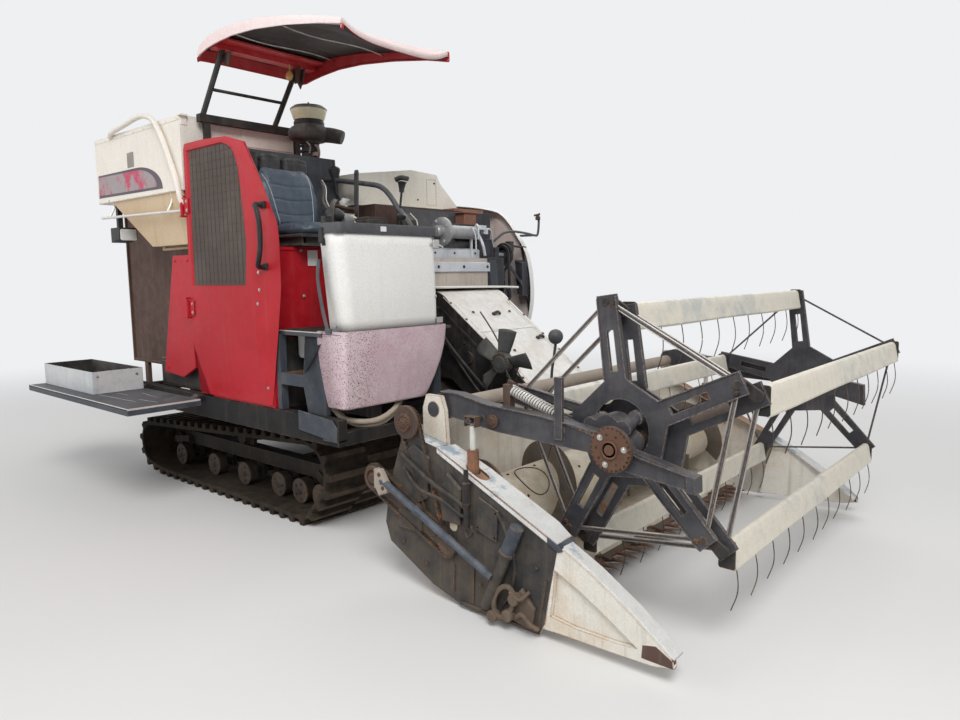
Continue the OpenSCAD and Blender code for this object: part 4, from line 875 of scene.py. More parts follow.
# Plan rings foot + (top - foot) * sin(pi s / 2)^0.9, s the share of the height, with two rounded front corners.
def addSkirt():
    s = skirtShape
    share = np.array([0, 0.02, 0.1, 0.3, 0.5, 0.507, 0.53, 0.537, 0.7, 0.85, 0.96, 0.985, 1.0])
    z = s["heights"][0] + share * (s["heights"][1] - s["heights"][0])
    out = np.array([-8, -1, 0, 0, 0, 0, 2.2, 2.2, 2, 1, 0, 0, 0.0])
    x0, x1, y0, y1 = (s["foot"][k] + (s["top"][k] - s["foot"][k]) * np.sin(share * math.pi / 2) ** 0.9
            for k in range(4))
    x1, y0 = x1 + np.minimum(out, 0.8), y0 - np.minimum(out, 0.8)
    r = s["corner"]
    t = np.linspace(0, math.pi / 2, 7)
    near = np.stack([(x1 - r)[:, None] + r * np.sin(t), (y0 + r)[:, None] - r * np.cos(t)], -1)
    q = s["farCorner"]
    far = np.stack([(x1 - q)[:, None] + q * np.cos(t), (y1 - q)[:, None] + q * np.sin(t)], -1)
    mid = np.stack([x1[:, None] + 3 * np.sin(np.linspace(0, 1, 9) * math.pi)[1:-1],
            near[:, -1:, 1] + (far[:, :1, 1] - near[:, -1:, 1]) * np.linspace(0, 1, 9)[1:-1]], -1)
    start = np.stack([x0, y0], 1)[:, None]
    end = np.stack([x0 + 60, y1], 1)[:, None]
    ring = np.concatenate([start, near, mid, far, end], 1)
    points = np.concatenate([ring, np.broadcast_to(z[:, None, None], ring.shape[:2] + (1,))], -1)
    lip = points[-1:].copy()
    lip[0, :, 0] = np.where(lip[0, :, 0] > 330, lip[0, :, 0] - 13, lip[0, :, 0])
    lip[0, :, 1] = np.clip(lip[0, :, 1], -939, -310)
    foot = points[:1].copy()
    foot[0, :, 0] -= 26
    foot[0, :, 1] = np.clip(foot[0, :, 1], -922, -458)
    shell = addPiece("skirt_tub", grid(np.vstack([foot, points, lip])), "machine", "skirtPlastic", 38)
    thicken(shell, s["sheet"])
    panel = [plate([(-1173, 718), (-950, 700), (-812, 762), (-812, 1380), (-995, 1380)], -982, -960, "xz", 3)]
    bolts = scattered(boltHead(7, 5), [(-970, -982, 1350), (-830, -982, 1350), (-1120, -982, 745)], toRight)
    addPiece("corner_panel", [*panel, bolts], "machine", "redPaint", bevel=1, replaced=("lower_panels",))
    brackets = [block(430, 452, y, y + 30, 985, 1000, 2) for y in (-800, -450)]
    addPiece("skirt_brackets", brackets, "machine", "framePaint")


# Two wheels' outer arcs joined by their outer tangents, counterclockwise, as points in x and z.
def wheelLoop(a, ra, b, rb, n=14):
    a, b = np.asarray(a, float), np.asarray(b, float)
    d = b - a
    base, lean = math.atan2(d[1], d[0]), math.acos((ra - rb) / np.linalg.norm(d))
    t = np.linspace(base + lean, base - lean + 2 * math.pi, n)
    u = np.linspace(base - lean, base + lean, n)
    return np.vstack([a + ra * np.stack([np.cos(t), np.sin(t)], 1), b + rb * np.stack([np.cos(u), np.sin(u)], 1)])


# Side plates and rollers at even steps along a closed loop in x and z.
def chainAlong(loop, y, pitch=19.0, wide=11.0):
    loop = np.vstack([loop, loop[:1]])
    run = np.concatenate([[0], np.cumsum(np.linalg.norm(np.diff(loop, axis=0), axis=1))])
    count = int(run[-1] / pitch)
    s = (np.arange(count) + 0.5) * run[-1] / count
    at = np.stack([np.interp(s, run, loop[:, 0]), np.interp(s, run, loop[:, 1])], 1)
    ahead = np.stack([np.interp((s + 3) % run[-1], run, loop[:, 0]), np.interp((s + 3) % run[-1], run, loop[:, 1])],
            1) - at
    ahead /= np.linalg.norm(ahead, axis=1)[:, None]
    side = joined([plate(rounded(-pitch * 0.56, pitch * 0.56, -5.5, 5.5, 4.5, 1), e * wide / 2 - 1, e * wide / 2 + 1,
            "xz", 0.3) for e in (-1, 1)]
            + [turned([(0, -wide / 2 - 2), (3, -wide / 2 - 2), (3, wide / 2 + 2), (0, wide / 2 + 2)],
            (pitch * 0.5, 0, 0), toLeft, 6)])
    p = np.asarray(side[0], float)
    x = at[:, None, 0] + p[None, :, 0] * ahead[:, None, 0] - p[None, :, 2] * ahead[:, None, 1]
    z = at[:, None, 1] + p[None, :, 0] * ahead[:, None, 1] + p[None, :, 2] * ahead[:, None, 0]
    points = np.stack([x, np.broadcast_to(y + p[None, :, 1], x.shape), z], -1).reshape(-1, 3)
    return points, [tuple(i + k * len(p) for i in f) for k in range(count) for f in side[1]]


# A wheel's outline r(t) = r - depth * (|cos(teeth t / 2)|^0.7), carried from y0 to y1.
def toothed(at, r, teeth, y0, y1, depth=7.0):
    t = np.arange(teeth * 4) * 2 * math.pi / (teeth * 4)
    radius = r - depth * np.abs(np.cos(teeth * t / 2)) ** 0.7
    return plate(np.stack([at[0] + radius * np.cos(t), at[1] + radius * np.sin(t)], 1), y0, y1, "xz", 0.8)


# Upper flange of the table's right side: slope, width, the long hole round the reel's lift
flangeShape = {"start": (1075, 603), "end": (1632, 353), "outer": -1019, "inner": -904,
        "hole": (1226, 1266, -977, 28)}


# Straight from the flange's rear end to its front end.
def flangeHeight(x):
    (x0, z0), (x1, z1) = flangeShape["start"], flangeShape["end"]
    return z0 + (np.asarray(x, float) - x0) * (z1 - z0) / (x1 - x0)


# The flat shape laid on the sloping flange: z = flange(x) + z.
def onFlange(part):
    p = np.array(part[0], float)
    p[:, 2] += flangeHeight(p[:, 0])
    return p, part[1]


# The frame's node with its side plate, flange and lift barrels tinted; the flange's sheets lie on flangeHeight(x).
def addTable():
    side = softCopy("table_frame", "tablePaint", 2)
    tinted(side, "sidePlate", lambda c, n: (np.abs(n[:, 1]) > 0.9) & (c[:, 1] < -1009) & (c[:, 0] < 1640))
    tinted(side, "flangeWhite", lambda c, n: (n[:, 2] > 0.5) & (c[:, 2] > 330)
            & ((c[:, 1] < -953) | (c[:, 1] > 1019)))
    tinted(side, "rustyBarrel", lambda c, n: (np.hypot(c[:, 0] - 1225, np.minimum(np.abs(c[:, 1] + 978),
           np.abs(c[:, 1] - 1052))) < 24) & (c[:, 2] < 614))
    f = flangeShape
    a, b, mid, r = f["hole"]
    t = np.linspace(-math.pi / 2, -3 * math.pi / 2, 9)
    rear = np.vstack([[(1075, f["outer"]), (1246, f["outer"]), (1246, mid - r)],
            np.stack([a + r * np.cos(t), mid + r * np.sin(t)], 1), [(1246, mid + r), (1246, f["inner"]),
            (1085, f["inner"] - 20)]])
    t = np.linspace(math.pi / 2, -math.pi / 2, 9)
    front = np.vstack([[(1246, f["outer"]), (1630, -1018), (1626, -925), (1560, f["inner"]), (1246, f["inner"]),
            (1246, mid + r)], np.stack([b + r * np.cos(t), mid + r * np.sin(t)], 1), [(1246, mid - r)]])
    sheets = [onFlange(plate(q, 1.5, 5, "xy", 0.5)) for q in (rear, front)]
    lip = [plate([(1075, 603), (1632, 353), (1630, 334), (1075, 584)], f["outer"], f["outer"] + 3, "xz", 1)]
    addPiece("side_flange", sheets + lip, "header", "flangeWhite")
    cap = plate([(1590, 376), (1640, 352), (1652, 338), (1636, 330), (1590, 352)], -1022, -930, "xz", 2)
    addPiece("flange_end", [cap], "header", "blueSteel", bevel=2)
    # Ribs, covers and loose hardware on the side plate
    ribs = [plate([(1150, 60), (1158, 60), (1162, 165), (1154, 165)], -1022, -1016, "xz", 1),
            plate([(1248, 40), (1256, 40), (1262, 190), (1254, 190)], -1022, -1016, "xz", 1),
            plate([(1190, 18), (1550, 18), (1552, 30), (1184, 30)], -1026, -1016, "xz", 1),
            plate([(1545, 40), (1556, 40), (1590, 215), (1579, 215)], -1021, -1016, "xz", 1)]
    boxes = [plate([(905, 330), (1030, 400), (1040, 560), (960, 600), (900, 560)], -1028, -1016, "xz", 3),
            plate([(1110, 330), (1200, 330), (1210, 470), (1140, 520), (1100, 440)], -1034, -1016, "xz", 5),
            plate([(1270, 330), (1370, 300), (1380, 420), (1290, 455)], -1024, -1016, "xz", 3),
            plate(rounded(860, 1000, 250, 330, 20), -1030, -1016, "xz", 4)]
    heads = scattered(boltHead(8, 6), [(x, -1018, z) for x, z in ((915, 345), (1025, 410), (1030, 550), (930, 575),
            (1118, 345), (1192, 345), (1200, 460), (1282, 340), (1362, 318), (1368, 410), (1500, 120), (1545, 250),
            (1420, 60), (1010, 130), (880, 190), (850, 300), (1290, 120))], toRight)
    addPiece("side_ribs", ribs + boxes + [heads], "header", "sidePlate", bevel=1.5)
    hoses = [tube([(880, -1030, 560), (980, -1044, 520), (1080, -1044, 470), (1180, -1036, 430), (1236, -1030, 400)],
            9), tube([(900, -1026, 500), (1010, -1052, 440), (1120, -1050, 420), (1210, -1034, 372),
            (1240, -1028, 380)], 7),
            tube([(1240, -1032, 350), (1236, -1040, 318), (1252, -1044, 300), (1270, -1038, 318), (1258, -1032, 342)],
            4), tube([(1380, -1024, 410), (1440, -1050, 360), (1470, -1040, 250), (1440, -1030, 140),
            (1400, -1024, 80)], 6)]
    strut = turned([(0, 0), (11, 0), (11, 90), (15, 92), (15, 170), (9, 174), (9, 220), (0, 220)], (1240, -1036, 330),
            toTop, 14)
    addPiece("side_hoses", hoses + [strut], "header", "blackIron")
    addDrives()
    addKnifeFingers()


# Rods between two points, their radius swelling at shares of their length; a chain runs round each pair of wheels.
def addDrives():
    crank, rodTop, rodFoot = np.array([733.0, 431]), np.array([800, -1059, 440.0]), np.array([1377, -1059, 187.0])
    hub = turned([(0, 0), (18, 0), (20, 8), (24, 8), (24, 14), (34, 14), (36, 4), (48, 4), (52, 8), (52, 28),
            (0, 28)], (crank[0], -1054, crank[1]), toLeft, 28)
    housing = [plate([(790, 372), (838, 392), (842, 430), (800, 486), (770, 478), (762, 420)], -1072, -1040, "xz", 7),
            block(764, 778, -1070, -1036, 400, 482, 4)]
    bolts = scattered(boltHead(8, 6), [(822, -1072, 412), (802, -1072, 464)], toRight)
    addPiece("crank_hub", [hub, bolts], "header", "rustyIron", replaced=("table_drives",))
    addPiece("crank_housing", housing, "header", "dustyCast", bevel=3)
    share = np.array([0, 0.02, 0.04, 0.32, 0.33, 0.36, 0.37, 0.62, 0.63, 0.66, 0.67, 1.0])
    swell = np.array([0.9, 1.25, 1, 1, 1.2, 1.2, 1, 1, 1.15, 1.15, 1, 1])
    rod = sweep(circle(14.5, 16), rodTop + share[:, None] * (rodFoot - rodTop), swell=swell)
    addPiece("pitman_rod", [rod], "header", "blueSteel")
    top, foot = np.array([1480, -1042, 392.0]), np.array([1335, -1042, 60.0])
    share = np.array([0, 0.01, 0.30, 0.305, 0.33, 0.335, 0.99, 1.0])
    swell = np.array([0.8, 1.12, 1.12, 1.3, 1.3, 0.95, 0.95, 0.8])
    sleeve = sweep(circle(23, 18), top + share[:, None] * (foot - top), swell=swell)
    rocker = addPiece("rocker_tube", [sleeve], "header", "sidePlate")
    tinted(rocker, "blueSteel", lambda c, n: c[:, 2] > 296)
    t = np.linspace(0, 2 * math.pi, 22, endpoint=False)
    ring = np.stack([1420 + 42 * np.cos(t) + 18 * np.sin(t), np.full(22, -1046.0), 105 + 62 * np.sin(t)], 1)
    link = sweep(rounded(-9, 9, -7, 7, 4, 2), ring, toLeft, closed=True)
    knuckle = [turned([(0, 0), (20, 0), (22, 4), (22, 30), (14, 34), (0, 34)], (x, -1062, z), toLeft, 16)
            for x, z in ((1372, 40), (1440, 62), (1470, 130))]
    scrap = [plate([(1450, 40), (1530, 30), (1545, 110), (1490, 170), (1455, 130)], -1036, -1018, "xz", 5),
            tube([(1470, -1040, 60), (1510, -1060, 90), (1540, -1050, 60), (1560, -1030, 40)], 8),
            tube([(1450, -1050, 150), (1500, -1058, 140), (1530, -1040, 170)], 6)]
    addPiece("knife_link", [link] + knuckle + scrap, "header", "rustyIron", bevel=1)
    # Reel's chain: wheel at the table's rear corner, the strand down to the small wheel
    wheel, small = (930, 688), (1072, 300)
    loop = wheelLoop(wheel, 58, small, 27)
    rim = turned([(30, 0), (62, 0), (66, 3), (66, 9), (60, 12), (54, 9), (54, 5), (30, 5)],
            (wheel[0], -1042, wheel[1]), toLeft, 36)
    bearing = turned([(0, -6), (12, -6), (14, -2), (20, -2), (22, 2), (34, 2), (36, 6), (36, 16), (0, 16)],
            (wheel[0] - 4, -1052, wheel[1] - 2), toLeft, 28)
    teeth = [toothed(wheel, 59, 22, -1028, -1020), toothed(small, 28, 11, -1028, -1020)]
    balls = scattered(turned([(0, -4), (3.5, 0), (0, 4)], (0, 0, 0), toTop, 6),
            [(wheel[0] - 4 + 29 * math.cos(k * 0.39), -1052, wheel[1] - 2 + 29 * math.sin(k * 0.39))
            for k in range(16)], toRight)
    addPiece("reel_chain_wheel", [rim, bearing, balls] + teeth, "header", "rustyIron")
    addPiece("reel_chain", chainAlong(loop, -1024), "header", "chain")
    case = plate([(895, 640), (905, 700), (930, 735), (965, 720), (1000, 640), (1095, 330), (1060, 282), (1020, 300)],
            -1015, -1011, "xz", 1)
    post = plate([(905, 630), (955, 625), (950, 700), (910, 700)], -1018, -1012, "xz", 1)
    addPiece("chain_case", [case, post], "header", "sidePlate", bevel=1)
    knifeWheel = (1130, 240)
    lower = wheelLoop(crank, 56, knifeWheel, 46)
    addPiece("knife_chain", chainAlong(lower, -1030), "header", "chain")
    inner = wheelLoop(crank, 46, knifeWheel, 36, 10)
    guard = plate(inner, -1025, -1021, "xz", 1)
    cups = [turned([(20, 0), (26, -3), (28, 0), (22, 4), (0, 4)], (x, -1028, z), toLeft, 18)
            for x, z in ((1115, 246), (1050, 280))]
    wheels = [toothed(knifeWheel, 47, 18, -1034, -1028), toothed(crank, 54, 20, -1034, -1028)]
    addPiece("chain_guard", [guard] + cups + wheels, "header", "rustyIron", bevel=1)


# Guards: half width and height at the root, rear end and length, drop per mm, place of the first, step and number
fingerShape = {"half": 13, "tall": 9, "rear": -20, "long": 112, "drop": 0.06, "at": (1440, -892, 60), "step": 76,
        "count": 25}


# Pointed guards ahead of the knife, one every 76 mm: a flat spike whose half width is 13 * (1 - s)^0.8 along its
# length s.
def addKnifeFingers():
    f = fingerShape
    s = np.linspace(0, 1, 5)
    half, tall = f["half"] * (1 - s) ** 0.8 + 0.5, f["tall"] * (1 - s) ** 0.7 + 0.6
    x = f["rear"] + f["long"] * s
    ring = np.stack([np.stack([x, -half, 0 * s], 1), np.stack([x, 0 * s, tall], 1), np.stack([x, half, 0 * s], 1),
            np.stack([x, 0 * s, -tall], 1)], 1)
    points, faces = grid(ring, False, True)
    points[:, 2] -= f["drop"] * (points[:, 0] - f["rear"])
    finger = points, faces + [(0, 1, 2, 3), (16, 17, 18, 19)]
    x0, y0, z0 = f["at"]
    places = [(x0, y0 + f["step"] * k, z0) for k in range(f["count"])]
    addPiece("knife_guards", scattered(finger, places), "header", "fingerRust", 50)
    bar = [block(1398, 1436, -928, 968, 53, 60, 1.5)]
    clips = [plate([(1385, 53), (1460, 58), (1462, 66), (1425, 74), (1385, 62)], -850 + 228 * k, -822 + 228 * k, "xz",
            1) for k in range(8)]
    addPiece("knife_bar", bar + clips, "header", "rustyIron", bevel=1)


# Crop dividers: outline and recess of either one in x and z
dividerShape = {"outline": [(1578, 62), (1600, 200), (1632, 352), (1760, 285), (1900, 198), (2010, 118), (2046, 88),
        (2049, 64), (1980, 50), (1800, 46), (1640, 44), (1560, 40)],
        "hollow": [(1618, 262), (1612, 180), (1600, 96), (1700, 84), (1850, 84), (1925, 90), (1830, 150),
        (1720, 214)]}


# y(x, s) = face (1 - s) + back s, where face and back run straight to the tip's over 475 mm.
def addDividers():
    d = dividerShape
    for name, face, back, deep, tipFace, tipBack in (("right", -1016, -940, 16, -1008, -984),
            ("left", 1082, 1000, -16, 1082, 1058)):
        outline, hollow = np.array(d["outline"], float), np.array(d["hollow"], float)

        def y(points, share):
            ahead = np.clip((points[:, 0] - 1575) / 475, 0, 1)
            return (face + (tipFace - face) * ahead) * (1 - share) + (back + (tipBack - back) * ahead) * share
        n = len(hollow)
        rings = [np.column_stack([q[:, 0], y(q, share) + off, q[:, 1]])
                for q, share, off in ((hollow * 0.97 + hollow.mean(0) * 0.03, 0, deep), (hollow, 0, deep),
                (hollow, 0, 0))]
        sunkPoints, sunkFaces = grid(np.stack(rings), False, True)
        sunkFaces = sunkFaces + [tuple(range(n))]
        # The face between the outline and the hollow, filled with triangles
        work = bmesh.new()
        outV = [work.verts.new(v) for v in np.column_stack([outline[:, 0], y(outline, 0), outline[:, 1]])]
        inV = [work.verts.new(v) for v in np.column_stack([hollow[:, 0], y(hollow, 0), hollow[:, 1]])]
        edges = [work.edges.new((vs[i], vs[(i + 1) % len(vs)])) for vs in (outV, inV) for i in range(len(vs))]
        bmesh.ops.triangle_fill(work, use_beauty=True, edges=edges)
        work.verts.index_update()
        bandPoints = np.array([v.co[:] for v in work.verts])
        bandFaces = [tuple(v.index for v in f.verts) for f in work.faces]
        work.free()
        shell = [np.column_stack([q[:, 0], y(q, share), q[:, 1]]) for q, share in ((outline, 0), (outline, 0.5),
                (outline, 1))]
        shellPoints, shellFaces = grid(np.stack(shell), False, True)
        shellFaces = shellFaces + [tuple(range(2 * len(outline), 3 * len(outline)))]
        addPiece("divider_" + name, [(sunkPoints, sunkFaces), (bandPoints, bandFaces), (shellPoints, shellFaces)],
                "header", "tablePaint", 25, bevel=2, replaced=("dividers",) if name == "right" else ())
        side = 1 if name == "right" else -1
        cap = np.array([(1628, 356), (1760, 290), (1900, 203), (2012, 122), (2048, 92), (2046, 86), (2008, 112),
                (1898, 192), (1758, 278), (1626, 344)])
        addPiece("divider_cap_" + name, plate(cap, min(face + side * 14, back), max(face + side * 14, back), "xz", 2),
                "header", "flangeWhite", bevel=1.5)
        tip = plate([(1935, 60), (1940, 112), (1990, 122), (2046, 90), (2049, 62)], min(tipFace, tipBack) - 2,
                max(tipFace, tipBack) + 2, "xz", 4)
        addPiece("divider_tip_" + name, tip, "header", "rustyBrownAndShade", bevel=2)


# Reel: places of its pins, in x and z
reelShape = {"axis": (1789, 690.5), "ecc": (1740, 723.5), "pin": 440, "phase": 97.7, "arms": 5}


# centre + pin (cos a, sin a), a = phase - 72 (k - 1) degrees.
def pinAt(k, centre="axis"):
    r = reelShape
    a = math.radians(r["phase"] - 360 / r["arms"] * (k - 1))
    return r[centre][0] + r["pin"] * math.cos(a), r[centre][1] + r["pin"] * math.sin(a)


# Bats: their two ends in y, the rings between them, and the tines' first place, step and number
batShape = {"near": -735, "far": 970, "rings": 15, "first": -700, "step": 165, "tines": 11}


# Bent strip bats: a folded profile carried along the reel, its lower part waving by 1.6 sin(y / 160 + k) for bat k.
def addBats():
    b = batShape
    profile = np.array([(-17, 8), (-16, 17), (-8, 24), (2, 26), (12, 22), (18, 12), (21, -6), (27, -38), (32, -60),
            (29, -67), (19, -69), (19, -66), (27, -64), (28, -59), (23, -38), (17, -6), (14, 10), (9, 18), (1, 22),
            (-7, 20), (-13, 14), (-14, 8)], float)
    for k in range(1, 6):
        px, pz = pinAt(k)
        body = "bat_%d" % k
        y = np.linspace(b["near"], b["far"], b["rings"])
        wave = 1.6 * np.sin(y / 160 + k) * (np.abs(y) < 900)
        points = np.stack([px + profile[None, :, 0] + 0 * y[:, None], y[:, None] + 0 * profile[None, :, 0],
                pz + profile[None, :, 1] + wave[:, None] * (profile[None, :, 1] < 0)], -1)
        pts, faces = grid(points, False, True)
        m = len(profile)
        faces = faces + [tuple(range(m)), tuple(range((b["rings"] - 1) * m, b["rings"] * m))[::-1]]
        # The blades' finish carries blue-grey patches that are partly painted shade
        addPiece("bat_blade_%d" % k, (pts, faces), body, "batCreamAndPaintedShade", 30, bevel=1,
                replaced=("reel_bat_%d" % k,))
        pin = turned([(0, -768), (14, -768), (14, -738), (11, -736), (11, 972), (14, 974), (14, 1000), (0, 1000)],
                (px, 0, pz), toLeft, 16)
        ex, ez = pinAt(k, "ecc")
        crank = [plate(wheelLoop((px, pz), 21, (ex, ez), 19), -777, -765, "xz", 2),
                turned([(7, 0), (12.5, 0), (12.5, 40), (0, 40)], (ex, -806, ez), toLeft, 16),
                turned([(0, 0), (16, 0), (18, 3), (18, 10), (0, 10)], (ex, -784, ez), toLeft, 16),
                plate(rounded(px - 26, px + 30, pz - 66, pz + 30, 8, 2), -742, -735, "xz", 1.5),
                plate(rounded(px - 26, px + 30, pz - 66, pz + 30, 8, 2), 970, 977, "xz", 1.5)]
        addPiece("bat_crank_%d" % k, [pin] + crank, body, "blackIron", bevel=0.8)
        wires = []
        spread = np.random.default_rng(40 + k)
        for i in range(b["tines"]):
            yy = b["first"] + i * b["step"]
            lean, back = spread.uniform(-9, 9), spread.uniform(-4, 7)
            path = np.array([(16, 0, -44), (18, 0, -68), (26 + 0.3 * back, lean * 0.2, -120),
                    (24 + back * 0.6, lean * 0.6, -165), (6 + back, lean, -222)]) + (px, yy, pz)
            wires.append(tube(path, 1.9, 6))
            wires.append(turned([(3, 0), (6, 0), (6, 14), (3, 14), (3, 0)], (px + 15, yy - 7, pz - 46), toLeft, 8))
        addPiece("bat_tines_%d" % k, wires, body, "tineWire")


# Rods from each pin to the next, and folded edges 43 mm off a spoke's line at its root, 37 mm at its end.
def addReel():
    for node in ("reel_star", "eccentric_star"):
        softCopy(node, "greyPaint", 2.5)
    for name, body, centre, y, tint in (("eccentric", "eccentric", "ecc", -794, "rodSteelPaintedShade"),
            ("near", "reel", "axis", -748, "rodSteelPaintedShade"), ("far", "reel", "axis", 985, "chain")):
        rods, ends = [], []
        for k in range(1, 6):
            a, b = np.array(pinAt(k, centre)), np.array(pinAt(k + 1, centre))
            u = (b - a) / np.linalg.norm(b - a)
            n = np.array([-u[1], u[0]])
            for e in ((-5.5, 5.5) if name != "far" else (0,)):
                q = [(p[0], y + (2 if e > 0 else -1), p[1]) for p in (a + n * e + u * 8, (a + b) / 2 + n * e * 1.2,
                        b + n * e - u * 8)]
                rods.append(tube(q, 2.7, 8))
            if name == "eccentric":
                ends.append(scattered(boltHead(9, 7),
                        [(a[0] + (n * 4 + u * 26)[0], y - 6, a[1] + (n * 4 + u * 26)[1])], toRight))
        rodPiece = addPiece("reel_rods_" + name, rods, body, tint)
        # Near the top these rods are pale steel, a painted highlight; the others are darker rod steel, painted shade
        if name != "far":
            ax, az = reelShape[centre]
            tinted(rodPiece, "paleSteel", lambda c, n: (c[:, 0] - ax > -60) & (c[:, 2] - az > 200))
        if ends:
            addPiece("reel_rod_ends_" + name, ends, body, "blackIron")
    # Folded stiffening edges along both sides of every spoke
    for name, body, centre, ys in (("eccentric", "eccentric", "ecc", (-800,)), ("star", "reel", "axis", (-754, 979))):
        strips = []
        for y0 in ys:
            for k in range(1, 6):
                c, p = np.array(reelShape[centre]), np.array(pinAt(k, centre))
                u = (p - c) / np.linalg.norm(p - c)
                n = np.array([-u[1], u[0]])
                for e in (-1, 1):
                    a, b = c + u * 172 + n * e * 43, c + u * 452 + n * e * 37
                    strips.append(plate([a - n * e * 3, a + n * e * 1, b + n * e * 1, b - n * e * 3], y0 + 1
                            if name == "star" else y0 - 5, y0 + 15, "xz", 0.8))
        addPiece("spoke_edges_" + name, strips, body, "greyPaint")
    softCopy("reel_shaft", "rustyIron", 1.5)
    axis = reelShape["axis"]
    wheel = [toothed(axis, 76, 26, -954, -946, 11),
            turned([(0, -962), (16, -962), (18, -958), (24, -958), (27, -962), (31, -960), (31, -950), (0, -950)],
            (axis[0], 0, axis[1]), toLeft, 24)]
    addPiece("reel_sprocket", wheel, "reel", "rustDisc")
    disc = turned([(40, -944), (72, -944), (74, -941), (72, -938), (40, -938)], (axis[0], 0, axis[1]), toLeft, 40)
    addPiece("reel_disc", disc, "reel", "rimSteel")
    bright = scattered(boltHead(9, 7), [(axis[0] + 52 * math.cos(a), -954, axis[1] + 52 * math.sin(a))
            for a in (0.15, 2.35, 4.4)], toRight)
    holes = scattered(turned([(0, 0), (4, 0), (4, 1), (0, 1)], (0, 0, 0), toTop, 8),
            [(axis[0] + 50 * math.cos(a), -954.6, axis[1] + 50 * math.sin(a))
            for a in (1.1, 1.8, 3.1, 3.8, 5.2, 5.9)], toRight)
    addPiece("sprocket_bolts", bright, "reel", "bareSteel")
    addPiece("sprocket_holes", holes, "reel", "blackIron")


# Spring on the near arm: its ends, turns, coil radius and wire radius
springShape = {"start": (1324, -866, 830), "end": (1518, -866, 766), "turns": 17, "coil": 17, "wire": 4.2}


# The spring is start + t (end - start) + 17 (cos a n + sin a y), with 17 turns of a.
def addReelArms():
    # In front of the hub the near arm narrows: its outline's two edges are led to lower and closer ones
    def narrowed(p):
        x, z = p[:, 0], p[:, 2]
        low, high = np.interp(x, (1705, 1830, 2071), (660, 640, 579)), np.interp(x, (1709, 1830, 2065),
                (739, 722, 682))
        newLow, newHigh = np.interp(x, (1745, 1830, 1900, 2071), (653, 618, 604, 592)), np.interp(x,
                (1745, 1830, 1878, 2066), (732, 692, 675, 640))
        share = (z - low) / (high - low)
        p[:, 2] = np.where((x > 1745) & (p[:, 1] < -875) & (p[:, 1] > -925), newLow + share * (newHigh - newLow), z)
        return p
    arms = softCopy("reel_arms", "greyPaint", 2.5, reshaped=narrowed)
    tinted(arms, "dustyCast", lambda c, n: (np.hypot(c[:, 0] - 1000, c[:, 2] - 735) < 32)
            & (np.abs(c[:, 1] - 58) < 1100) & (np.abs(n[:, 1]) < 0.3))
    tinted(arms, "rustyIron", lambda c, n: (c[:, 0] > 1285) & (c[:, 0] < 1330) & (c[:, 1] > -881) & (c[:, 1] < -850))
    s = springShape
    start, end = np.array(s["start"], float), np.array(s["end"], float)
    t = np.linspace(0, 1, s["turns"] * 12)
    d = (end - start) / np.linalg.norm(end - start)
    n = np.array([-d[2], 0, d[0]])
    turns = s["turns"] * 2 * math.pi * t
    path = start + t[:, None] * (end - start) + s["coil"] * (np.cos(turns)[:, None] * n + np.sin(turns)[:, None]
            * np.array([0, 1.0, 0]))
    addPiece("tension_spring", sweep(circle(s["wire"], 6), path, (0.31, 0.9, 0.1)), "reel_arms",
            "paleSteel")
    wheel = [toothed((1304, 836), 27, 12, -850, -842, 5), turned([(0, -4), (10, -4), (12, 0), (12, 14), (0, 14)],
            (1304, -852, 836), toLeft, 16), turned([(0, 0), (16, 0), (18, 4), (18, 12), (0, 12)], (1275, -934, 716),
            toLeft, 6), turned([(17, 0), (26, 0), (26, 6), (17, 6), (17, 0)], (1275, -928, 716), toLeft, 20),
            plate([(1286, 742), (1326, 742), (1322, 860), (1296, 866), (1280, 820)], -858, -851, "xz", 2)]
    addPiece("tension_wheel", wheel, "reel_arms", "rustyIron", bevel=1)
    edge = np.array([(1015, 805), (1103, 804), (1244, 778), (1496, 764), (1709, 739), (1745, 733), (1830, 693),
            (1878, 676), (2065, 641)], float)
    lipTop = plate(np.vstack([edge, edge[::-1] - (0, 5)]), -930, -880, "xz", 1)
    endBox = [plate([(2040, 592), (2071, 590), (2068, 642), (2038, 646)], -932, -878, "xz", 2)]
    addPiece("arm_edge", [lipTop] + endBox, "reel_arms", "greyPaint", bevel=1)
    fork = [block(1198, 1203, -998, -964, 700, 736, 2), block(1247, 1252, -998, -964, 700, 736, 2),
            block(1198, 1252, -998, -964, 734, 739, 2)]
    addPiece("lift_fork", fork, "reel_arms", "rustyIron", bevel=1)
    softCopy("reel_rods", "paleSteel", 1)


# Auger: its axis in x and z, radii of drum and flight, the flight's start in y and its climb per turn
augerShape = {"x": 1155, "z": 315, "drum": 130, "flight": 214, "start": -936, "pitch": 420}


